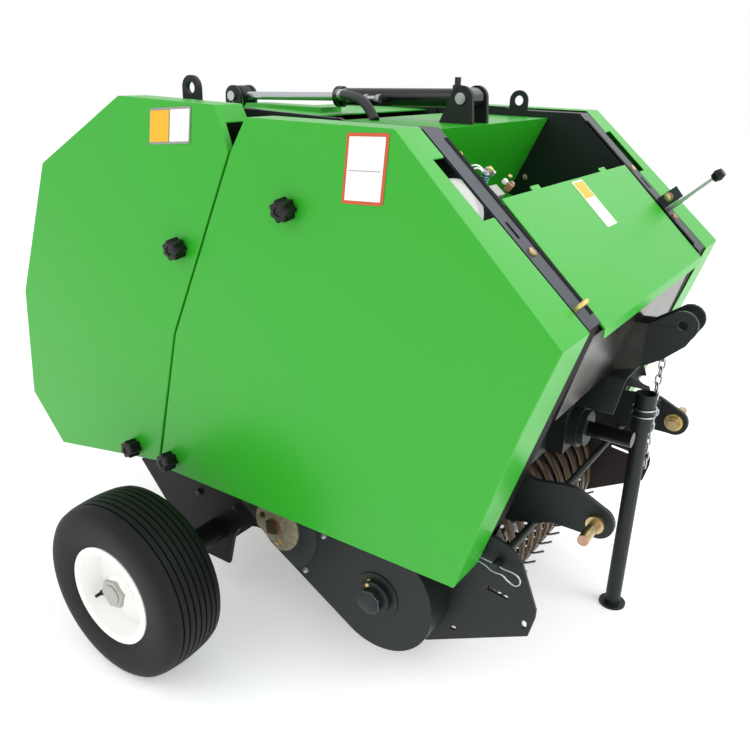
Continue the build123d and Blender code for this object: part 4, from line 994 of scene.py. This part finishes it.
# %% Hood
HOOD_START = 0.560
HOOD_REACH = 0.088
HOOD_T = 0.003
HOOD_FOLD = 0.014
HOOD_SECTION = ((0, -0.122, 0.630), (0, -0.060, 0.6885), (0, 0.060, 0.6885), (0, 0.170, 0.585))
STAND_SPOT = (0.650, 0.131, 0.450)
STAND_GAP = [(0, 0), (0, 0.024), (0.3, 0.024), (0.3, 0)]


def eased(corners, reach, steps=5):
    """Polyline with each inner corner replaced by a smooth arc."""
    corners = [Vector(corner) for corner in corners]
    points = [corners[0]]
    for before, corner, after in zip(corners, corners[1:], corners[2:]):
        start = corner + (before - corner).normalized() * reach
        end = corner + (after - corner).normalized() * reach
        for step in range(steps + 1):
            share = step / steps
            near_start, near_corner = (1 - share) ** 2, 2 * share * (1 - share)
            points.append(start * near_start + corner * near_corner + end * share**2)
    points.append(corners[-1])
    return points


def bent_sheet(path, sweep):
    """Thin sheet along a path of points, swept by a vector."""
    deselect()
    bpy.ops.mesh.primitive_grid_add(x_subdivisions=len(path) - 1, y_subdivisions=1, size=1)
    piece = bpy.context.object
    for vertex in piece.data.vertices:
        along = round((vertex.co.x + 0.5) * (len(path) - 1))
        vertex.co = path[along] + Vector(sweep) * (vertex.co.y + 0.5)
    return piece


path = [point + Vector((HOOD_START, 0, 0)) for point in eased(HOOD_SECTION, HOOD_FOLD)]
hood = bent_sheet(path, (HOOD_REACH, 0, 0))
gap = turned(STAND_GAP, STAND_SPOT, UP, 48)
modify(hood, "SOLIDIFY", thickness=HOOD_T, offset=0)
modify(hood, "BOOLEAN", object=gap, operation="DIFFERENCE")
modify(hood, "BEVEL", width=0.0006, segments=2)
settle(hood, "folded_hood", dark_paint)
bpy.data.objects.remove(gap)
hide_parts("drive_hood")
print("hood faces", len(hood.data.polygons))


# %% [markdown]
# ## Plates, cap and nipple on the chain guard
#
# A round adjuster plate lies on the guard's rear end, with a square hub and two small fasteners.
# Both it and the thin plate behind it follow the guard's lower edge. They could be cut with a
# Boolean, but moving the rim's points onto a straight line keeps the mesh clean. The thin plate
# does get a Boolean, where the cover hides its top. An eight-sided cap and a small grease nipple
# stand on the reel's bearing.

# %% Adjuster and back plate
ADJUSTER = Vector((0.036, GUARD_Y, 0.313))
ADJUSTER_R = 0.062
ADJUSTER_T = 0.0075
BACK_PLATE_R = 0.110
BACK_PLATE_T = 0.0015
BACK_PLATE_TOP = 0.372
FLAT_FROM = Vector((-0.029, GUARD_Y, 0.300))
FLAT_TO = Vector((0.029, GUARD_Y, 0.258))


def cut_disc(radius, thickness):
    """Disc round the adjuster, facing -Y, whose rim stays inside a straight line."""
    piece = outline(96, radius, FACING_RIGHT)
    along = (FLAT_TO - FLAT_FROM).normalized()
    inward = Vector((-along.z, 0, along.x))
    for vertex in piece.data.vertices:
        past = (vertex.co + ADJUSTER - FLAT_FROM).dot(inward)
        if past < 0:
            vertex.co -= inward * past
    piece.data.transform(Matrix.Translation(ADJUSTER))
    thicken(piece, (0, -thickness, 0))
    modify(piece, "BEVEL", width=0.0007, segments=2, limit_method="ANGLE")
    return piece


def block(name, centre, size, turn, material, ease=0.0012):
    """Eased box: centre, full sizes and a turn about the Y axis."""
    deselect()
    bpy.ops.mesh.primitive_cube_add(size=1, location=centre, rotation=(0, turn, 0))
    piece = bpy.context.object
    bpy.ops.transform.resize(value=size, orient_type="LOCAL")
    modify(piece, "BEVEL", width=ease, segments=3)
    settle(piece, name, material)


back_plate = cut_disc(BACK_PLATE_R, BACK_PLATE_T)
deselect()
bpy.ops.mesh.primitive_cube_add(size=0.4, location=(ADJUSTER.x, GUARD_Y, BACK_PLATE_TOP + 0.2))
cutter = bpy.context.object
modify(back_plate, "BOOLEAN", object=cutter, operation="DIFFERENCE")
settle(back_plate, "guard_back_plate", dark_paint, smooth=30)
bpy.data.objects.remove(cutter)
adjuster = cut_disc(ADJUSTER_R, ADJUSTER_T)
settle(adjuster, "adjuster_plate", dull_zinc, smooth=30)
face = GUARD_Y - ADJUSTER_T
spacer = turned_ring(0.008, 0.020, -0.003, (0.030, face, 0.309))
settle(spacer, "adjuster_washer", copper)
block("adjuster_hub", (0.026, face - 0.005, 0.308), (0.025, 0.010, 0.029), radians(-8), bronze, 0.002)
fasten(nut, "adjuster_nut", (0.041, face, 0.272), TO_THE_RIGHT, 0.65)
fasten(bolt, "adjuster_bolt", (-0.004, face, 0.327), TO_THE_RIGHT, 0.7, bronze)
print("adjuster plate across", round(2000 * ADJUSTER_R), "mm")

# %% Nipple and end cap
NIPPLE_SPOT = (0.291, GUARD_Y - 0.003, 0.268)
NIPPLE = [
    (0, 0), (0, 0.0088), (-0.004, 0.0088), (-0.0048, 0.0078), (-0.0048, 0.0052), (-0.0095, 0.0042),
    (-0.0105, 0.0048), (-0.0125, 0.0052), (-0.0145, 0.0043), (-0.0157, 0.0022), (-0.0160, 0),
]
END_CAP_SPOT = (0.302, -0.481, 0.235)
END_CAP_R = 0.0285
END_CAP_T = 0.012
END_CAP_TURN = (pi / 2, 0.25, 0)
settle(turned(NIPPLE, NIPPLE_SPOT, steps=24), "grease_nipple", cream_zinc, smooth=40)
end_cap = thicken(outline(8, END_CAP_R, END_CAP_TURN, END_CAP_SPOT), (0, -END_CAP_T, 0))
# The cap's bevel takes the pale line: worn steel and a painted edge highlight.
repaint(end_cap, blued_steel, worn_edge_and_highlight)
modify(end_cap, "BEVEL", width=0.0013, segments=2, material=1)
settle(end_cap, "reel_end_cap", None, smooth=30)
print("end cap across", round(2000 * END_CAP_R), "mm")


# %% [markdown]
# ## Wire parts
#
# Three things are bent from round wire: the hairpin clip on the pick-up's pin, the double wire
# round the sleeve of the parking stand, and the yellow twine guide on the sloping strip. Each is a
# smooth curve with a round bevel. The clip's route is listed, and the others follow arcs.

# %% Clips and guide
CLIP_Y = -0.407
CLIP_ROUTE = (
    (0.498, CLIP_Y, 0.388), (0.520, CLIP_Y, 0.386), (0.545, CLIP_Y, 0.383), (0.560, CLIP_Y, 0.379),
    (0.578, CLIP_Y, 0.380), (0.594, CLIP_Y, 0.374), (0.598, CLIP_Y, 0.361), (0.588, CLIP_Y, 0.350),
    (0.572, CLIP_Y - 0.002, 0.357), (0.560, CLIP_Y - 0.003, 0.368), (0.548, CLIP_Y - 0.004, 0.368),
    (0.534, CLIP_Y - 0.003, 0.368), (0.522, CLIP_Y - 0.001, 0.374), (0.503, CLIP_Y, 0.377),
)
SLEEVE = Vector((0.650, 0.131, 0))
SLEEVE_WIRE_RING = 0.0268
WIRE_HIGH = 0.556
WIRE_LOW = 0.539
GUIDE_X = 0.634
GUIDE_Y = -0.386
GUIDE_R = 0.0135
GUIDE_SINK = -0.010


def round_sleeve(degrees, z, out=0.0):
    """Point on the wire's circle round the sleeve."""
    turn = radians(degrees)
    reach = SLEEVE_WIRE_RING + out
    return SLEEVE + Vector((reach * cos(turn), reach * sin(turn), z))


def guide_point(degrees):
    """Point on the twine guide's bow, seen along the slope."""
    turn = radians(degrees)
    return on_slope(GUIDE_X, GUIDE_Y + GUIDE_R * cos(turn), 0.006 + GUIDE_R * sin(turn))


settle(wire(CLIP_ROUTE, 0.0017, facets=3), "pin_clip", steel, smooth=60)
turns = range(-190, 16, 12)
sleeve_route = [round_sleeve(degrees, WIRE_HIGH) for degrees in turns]
sleeve_route += [
    round_sleeve(22, WIRE_HIGH - 0.001, 0.004),
    round_sleeve(24, (WIRE_HIGH + WIRE_LOW) / 2, 0.006),
    round_sleeve(22, WIRE_LOW + 0.001, 0.004),
]
sleeve_route += [round_sleeve(degrees, WIRE_LOW) for degrees in reversed(turns)]
settle(wire(sleeve_route, 0.0018, facets=3), "sleeve_clip", steel, smooth=60)
near_leg = [on_slope(GUIDE_X, GUIDE_Y - GUIDE_R, lift) for lift in (GUIDE_SINK, 0.004)]
far_leg = [on_slope(GUIDE_X, GUIDE_Y + GUIDE_R, lift) for lift in (0.004, GUIDE_SINK)]
guide_route = near_leg + [guide_point(degrees) for degrees in range(170, 9, -20)] + far_leg
settle(wire(guide_route, 0.0042), "twine_guide", cream_zinc, smooth=60)
print("points in the sleeve wire", len(sleeve_route), "and in the guide", len(guide_route))


# %% [markdown]
# ## Chain
#
# A short steel chain hangs from the top link's left ear. A real link is a bent and welded loop, so
# one link is a closed loop of wire. Every second link is the same one, turned a quarter about the
# chain's line, and a slight sway keeps the row from looking ruled.

# %% Chain
CHAIN_TOP = Vector((0.662, 0.172, 0.695))
CHAIN_LINKS = 16
LINK_PITCH = 0.0200
LINK_HALF_L = 0.0128
LINK_HALF_W = 0.0068
LINK_WIRE_R = 0.0024
LINK_POINTS = 16
FIRST_TURN = 35
link_route = []
for step in range(LINK_POINTS):
    turn = step / LINK_POINTS * 2 * pi
    stretch = LINK_HALF_L - LINK_HALF_W
    lift = stretch if sin(turn) >= 0 else -stretch
    link_route.append((LINK_HALF_W * cos(turn), 0, LINK_HALF_W * sin(turn) + lift))
link = wire(link_route, LINK_WIRE_R, closed=True, facets=3)
settle(link, "link_pattern", steel, None, 60)
links = []
for number in range(CHAIN_LINKS):
    sway = Vector((0.0015 * sin(number * 0.9), 0.002 * sin(number * 0.6), 0))
    place = Matrix.Translation(CHAIN_TOP + Vector((0, 0, -LINK_PITCH * number)) + sway)
    quarter = Matrix.Rotation(radians(FIRST_TURN + 90 * (number % 2)), 4, "Z")
    links.append(copy_to(link, f"link_{number}", place @ quarter, "frame"))
chain = joined(*links)
chain.name = "stand_chain"
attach(chain, "frame")
bpy.data.objects.remove(link)
print("chain faces", len(chain.data.polygons))


# %% [markdown]
# ## Painted shade beside the lid
#
# A narrow black block lies along the inner edge of each sloping strip, where the lid closes. It is
# painted shade for the dark gap there, and a long eased block is all that it needs.

# %% Painted shade in the gaps
GAP_SHADE_W = 0.0125
GAP_SHADE_L = 0.400
GAP_SHADE_H = 0.0040
GAP_SHADE_Y = 0.350 + GAP_SHADE_W / 2
gap_shade_turn = atan2(-down_slope.z, down_slope.x)
for side, out in (("right", -1), ("left", 1)):
    middle = on_slope(0.500, out * GAP_SHADE_Y, -0.0010)
    block(f"lid_gap_shade_{side}", middle, (GAP_SHADE_L, GAP_SHADE_W, GAP_SHADE_H), gap_shade_turn, gap_shade_black, 0.0004)
print("seal width", GAP_SHADE_W * 1000, "mm")


# %% [markdown]
# ## Twine tensioner
#
# Inside the twine box, against the right wall, sit a grey bracket, a spring-loaded brake on a
# stud, a brass bush and the bright rims of the twine wheel. Only glimpses of them show through the
# opening, so each is kept to the turned, bent or cast form that gives that glimpse.

# %% Bracket, spring and stud
TENSION_Y = -0.322
SPRING_R = 0.0072
SPRING_L = 0.028
SPRING_TURNS = 6
STUD = [(-0.016, 0), (-0.016, 0.004), (0.033, 0.004), (0.034, 0.003), (0.034, 0)]
spring_axis = Vector((0.22, 0, 1)).normalized()
spring_side = Vector((1, 0, -0.22)).normalized()
spring_base = Vector((0.410, TENSION_Y, 1.083))
bracket_spot, foot_spot = (0.436, TENSION_Y - 0.004, 1.077), (0.427, TENSION_Y - 0.010, 1.071)
block("tension_bracket", bracket_spot, (0.024, 0.030, 0.020), radians(38), grey_casting, 0.002)
block("tension_foot", foot_spot, (0.034, 0.018, 0.006), radians(41), grey_casting)
spring_route = []
for step in range(SPRING_TURNS * 12 + 1):
    turn = step / 12 * 2 * pi
    out = spring_side * cos(turn) + Vector(ACROSS_AXIS) * sin(turn)
    rise = SPRING_L * step / (SPRING_TURNS * 12)
    spring_route.append(spring_base + spring_axis * rise + out * SPRING_R)
settle(wire(spring_route, 0.0013, facets=2), "tension_spring", teal_zinc, smooth=60)
settle(turned(STUD, spring_base, spring_axis, 24), "tension_stud", steel, smooth=40)
fasten(nut, "tension_nut", spring_base + spring_axis * SPRING_L, spring_axis, 0.75, steel)
print("spring points", len(spring_route))

# %% Rods, wheel rims and twine eye
BUSH_Y = -0.278
WHEEL_X, WHEEL_Z = 0.399, 1.106
EYE_Y = -0.300
EYE_WIRE = (
    (0.338, EYE_Y, 1.130), (0.340, EYE_Y, 1.137), (0.345, EYE_Y, 1.1405), (0.351, EYE_Y, 1.141),
    (0.3555, EYE_Y, 1.137), (0.352, EYE_Y, 1.132), (0.346, EYE_Y, 1.128), (0.344, EYE_Y, 1.112),
)


def rod_piece(name, start, end, radius, material, body="frame", ease=0.001):
    """Round rod between two points with eased ends."""
    start, end = Vector(start), Vector(end)
    length = (end - start).length
    profile = [(0, 0), (0, radius - ease), (ease, radius)]
    profile += [(length - ease, radius), (length, radius - ease), (length, 0)]
    settle(turned(profile, start, end - start, 28), name, material, body, 40)


bolt_foot, bolt_top = (0.410, -0.318, 1.106), (0.421, -0.318, 1.117)
rod_piece("tension_bolt", bolt_foot, bolt_top, 0.0045, cream_zinc)
fasten(bolt, "tension_bolt_head", bolt_top, (0.69, 0, 0.72), 0.6, cream_zinc)
bush_from, bush_to = (0.4371, BUSH_Y, 1.0782), (0.4485, BUSH_Y, 1.0920)
for name, start, end, radius, coat, ease in (
    ("tension_tube", (0.421, -0.316, 1.106), (0.430, -0.316, 1.115), 0.0042, steel, 0.001),
    ("tension_cap", (0.4311, BUSH_Y, 1.0902), (0.4371, BUSH_Y, 1.0972), 0.0055, white_plastic, 0.0015),
    ("tension_bush", bush_from, bush_to, 0.0062, brass_bush, 0.0015),
    ("tension_bush_end", bush_to, (0.4502, BUSH_Y, 1.0940), 0.0050, dull_zinc, 0.001),
    ("tension_pin", (0.4451, BUSH_Y, 1.1037), (0.4451, -0.286, 1.1062), 0.0028, cream_zinc, 0.001),
):
    rod_piece(name, start, end, radius, coat, ease=ease)
# The wheel rims take the white with a painted glow.
for number, (radius, y) in enumerate(((0.0185, -0.330), (0.0125, -0.322)), 1):
    rim_route = []
    for degrees in range(30, 171, 10):
        turn = radians(degrees)
        rim_route.append((WHEEL_X + radius * cos(turn), y, WHEEL_Z + radius * sin(turn)))
    settle(wire(rim_route, 0.0012, facets=3), f"wheel_rim_{number}", glowing_white_abs, smooth=60)
settle(wire(EYE_WIRE, 0.0016, facets=3), "twine_eye", cream_zinc, smooth=60)
fasten(bolt, "box_bolt", (0.248, 0.239, 1.034), (0.98, 0, 0.2), 0.75, dull_zinc)
print("bush length", round((Vector(bush_to) - Vector(bush_from)).length * 1000, 1), "mm")


# %% [markdown]
# ## Bushes of the hitch pins
#
# Each lower hitch pin passes through a short welded bush, which shows as a bright ring round the
# nut on the inner face of the arm. A ring is one small section turned round the pin.

# %% Hitch bushes
HITCH_PIN = Vector((0.692, 0, 0.474))
ARM_INNER_Y = 0.278
BUSH_R = 0.0222
BUSH_BORE = 0.0150
BUSH_STAND = 0.004
for side, out in (("right", -1), ("left", 1)):
    foot = HITCH_PIN + Vector((0, out * ARM_INNER_Y, 0))
    bush = turned_ring(BUSH_BORE, BUSH_R, -out * BUSH_STAND, foot)
    settle(bush, f"hitch_bush_{side}", cream_zinc)
print("hitch bush across", round(2000 * BUSH_R, 1), "mm")


# %% [markdown]
# ## Lever and cylinder details
#
# The hand lever turns on a bolt through a flat bar that stands on the left strip. A steel valve
# body with three hexagons lies along the near side of the cylinder, behind the hose. All of it is
# bought-in hardware, so it is built from the same rods, hexagons and bolts, set out by distances
# from the clevis pin.

# %% Lever
LEVER_Y = 0.3805
# The lever bar takes the enamel with the painted sky reflection.
block("lever_bar", (0.567, 0.383, 1.000), (0.062, 0.005, 0.030), radians(-41), sky_reflection_enamel)
fasten(nut, "lever_nut", (0.567, LEVER_Y, 1.004), TO_THE_RIGHT, 1.05)
fasten(bolt, "lever_foot_bolt", on_slope(0.588, 0.379, -0.003), off_slope, 0.95, copper)
fasten(bolt, "lever_washer", (0.548, LEVER_Y, 0.985), TO_THE_RIGHT, 0.6, steel)
print("lever hardware on at y", LEVER_Y)

# %% Cylinder
CLEVIS = Vector((0.207, 0, 1.222))
EYE = Vector((-0.467, 0, 1.200))
VALVE_Y = -0.0275
VALVE_DROP = -0.004
ram = (EYE - CLEVIS).normalized()
ram_up = Vector((ram.z, 0, -ram.x))


def beside_ram(distance, y=VALVE_Y, lift=VALVE_DROP):
    """Point beside the cylinder, measured from the clevis pin."""
    return CLEVIS + ram * distance + Vector((0, y, 0)) + ram_up * lift


rod_piece("valve_body", beside_ram(0.222), beside_ram(0.305), 0.0075, steel, "cylinder_barrel")
for number, distance in enumerate((0.216, 0.250, 0.296), 1):
    piece = hexagon(0.019, 0.012, 0.001)
    piece.data.transform(aimed(beside_ram(distance), ram, 0.2))
    settle(piece, f"valve_hex_{number}", steel, "cylinder_barrel", 30)
hose_end = Vector(HOSE_ROUTE[0])
ferrule_end = hose_end.lerp(Vector(HOSE_ROUTE[1]), 0.28)
rod_piece("hose_ferrule", hose_end, ferrule_end, 0.0125, steel, "cylinder_barrel")
gland = turned_ring(0.0205, 0.0246, 0.004, beside_ram(0.350, 0, 0), ram, 48)
settle(gland, "gland_ring", knob_plastic, "cylinder_barrel")
print("ferrule length", round((ferrule_end - hose_end).length * 1000, 1), "mm")


# %% [markdown]
# ## Second coat
#
# Some CAD nodes carry more than one finish: a steel pin in a painted sheet, a steel lever with a
# black knob, a shaft in a black sleeve with a bare end. They could be split into more pieces, but a
# finish by face keeps the node whole. The faces are picked by where they lie.

# %% Faces with their own finish
LEVER_KNOB = Vector((0.672, 0.374, 1.066))
for name, coat in (
    # The twine disc takes the white with a painted glow.
    ("twine_unit", glowing_white_abs),
    ("input_shaft", knob_plastic),
    ("cylinder_barrel", gloss_black),
    # The axle beam and its legs take the enamel darkened as painted shade.
    ("axle_beam", shade_darkened_enamel),
):
    repaint(nodes[name], coat)
for name, coat, test in (
    ("twine_unit", dark_paint, lambda at: at.y > -0.30),
    ("hand_lever", knob_plastic, lambda at: (at - LEVER_KNOB).length < 0.032),
    ("input_shaft", roller_paint, lambda at: at.x > 0.6655),
    ("gate_sheet", dark_paint, lambda at: at.z > 1.172 and abs(at.x - EYE.x) < 0.032),
    ("gate_sheet", steel, lambda at: (at - EYE).xz.length < 0.0135),
    # The mast's panel takes the enamel with the painted reflection.
    ("mast", panel_reflection_enamel, lambda at: at.x < 0.668),
    ("pickup_frame", rusty_paint, lambda at: at.y > 0.25),
    ("cylinder_rod", dark_paint, lambda at: (at - EYE).xz.length < 0.034),
    ("cylinder_clevis", steel, lambda at: (at - CLEVIS).xz.length < 0.013),
    ("hitch_pins", copper, lambda at: at.y < -0.360),
):
    repaint_where(nodes[name], coat, test)


def on_strip(at):
    """Whether a point lies on the strip along the slope."""
    return abs((at - SLOPE_TOP).dot(off_slope)) < 0.008 and 0.33 < at.x < 0.66


for side in ("right", "left"):
    plate = nodes[f"side_plate_{side}"]
    # Faces on the strip take the lighter enamel, a painted reflection of the sky.
    repaint_where(plate, sky_reflection_enamel, on_strip)
    # Inner faces at the front, below the nose, are painted black as shade.
    repaint_where(plate, gap_shade_black, lambda at: abs(at.y) < 0.41 and at.x > 0.50 and at.z < 0.86)
    # The lower rear of each side plate is darkened as painted shade.
    repaint_where(plate, shade_darkened_enamel, lambda at: abs(at.y) > 0.33 and at.x < 0.20 and at.z < 0.62)
print("finishes on the right side plate", len(nodes["side_plate_right"].data.materials))


# %% [markdown]
# ## Studio
#
# A big pale floor and a plain white surround. The world lights the object evenly from all sides,
# at a level where a colour comes out about as it is written, and four broad lamps shade the folds.
# Rays that go straight to the camera, or that metal and glass send on, see plain white instead. A
# white world was chosen over a backdrop, since it has no edge to come into view from any side.

# %% Floor
for pattern in (bolt, nut):
    bpy.data.objects.remove(pattern)
WHITE = (1, 1, 1, 1)
deselect()
bpy.ops.mesh.primitive_plane_add(size=30, location=(0, 0, 0))
floor = bpy.context.object
floor.name = "studio_floor"
# Matt painted board, a little brighter than its surroundings make it, so that it fades to white.
repaint(floor, finish("matt_floor_paint", "F6F6F6", 0.9, Emission_Color=WHITE, Emission_Strength=0.3))
print("floor", round(floor.dimensions.x), "m wide")

# %% World and lamps
LIGHT_LEVEL = 1.0
BACKGROUND_LEVEL = 1.0
LAMPS = (
    ("key_lamp", (-1.4, -3.6, 4.2), (0, 0, 0.6), 2.6, 25),
    ("slope_lamp", (3.6, 0.4, 3.6), (0.5, 0, 0.9), 2.2, 72),
    ("fill_lamp", (3.8, -2.6, 2.6), (0, 0, 0.6), 3.0, 12),
    ("back_lamp", (0.5, 3.6, 3.6), (0, 0, 0.8), 3.0, 20),
)
world = bpy.data.worlds.new("studio")
bpy.context.scene.world = world
world.use_nodes = True
world.node_tree.nodes.clear()
ray = add_node(world, "ShaderNodeLightPath").outputs
straight = [(ray["Is Camera Ray"], 0), (ray["Is Glossy Ray"], 1)]
seen = add_node(world, "ShaderNodeMath", straight, operation="MAXIMUM")
sent_on = [(seen.outputs[0], 0), (ray["Is Transmission Ray"], 1)]
seen_at_all = add_node(world, "ShaderNodeMath", sent_on, operation="MAXIMUM")
glow = add_node(world, "ShaderNodeBackground", Color=WHITE, Strength=LIGHT_LEVEL)
plain = add_node(world, "ShaderNodeBackground", Color=WHITE, Strength=BACKGROUND_LEVEL)
either = [(seen_at_all.outputs[0], "Fac"), (glow.outputs[0], 1), (plain.outputs[0], 2)]
mix = add_node(world, "ShaderNodeMixShader", either)
add_node(world, "ShaderNodeOutputWorld", [(mix.outputs[0], "Surface")])
for name, place, target, size, watts in LAMPS:
    light = bpy.data.lights.new(name, "AREA")
    light.size = size
    light.energy = watts
    holder = bpy.data.objects.new(name, light)
    bpy.context.scene.collection.objects.link(holder)
    holder.location = place
    towards = Vector(target) - Vector(place)
    holder.rotation_euler = towards.to_track_quat("-Z", "Y").to_euler()
print("lamps", len(LAMPS))
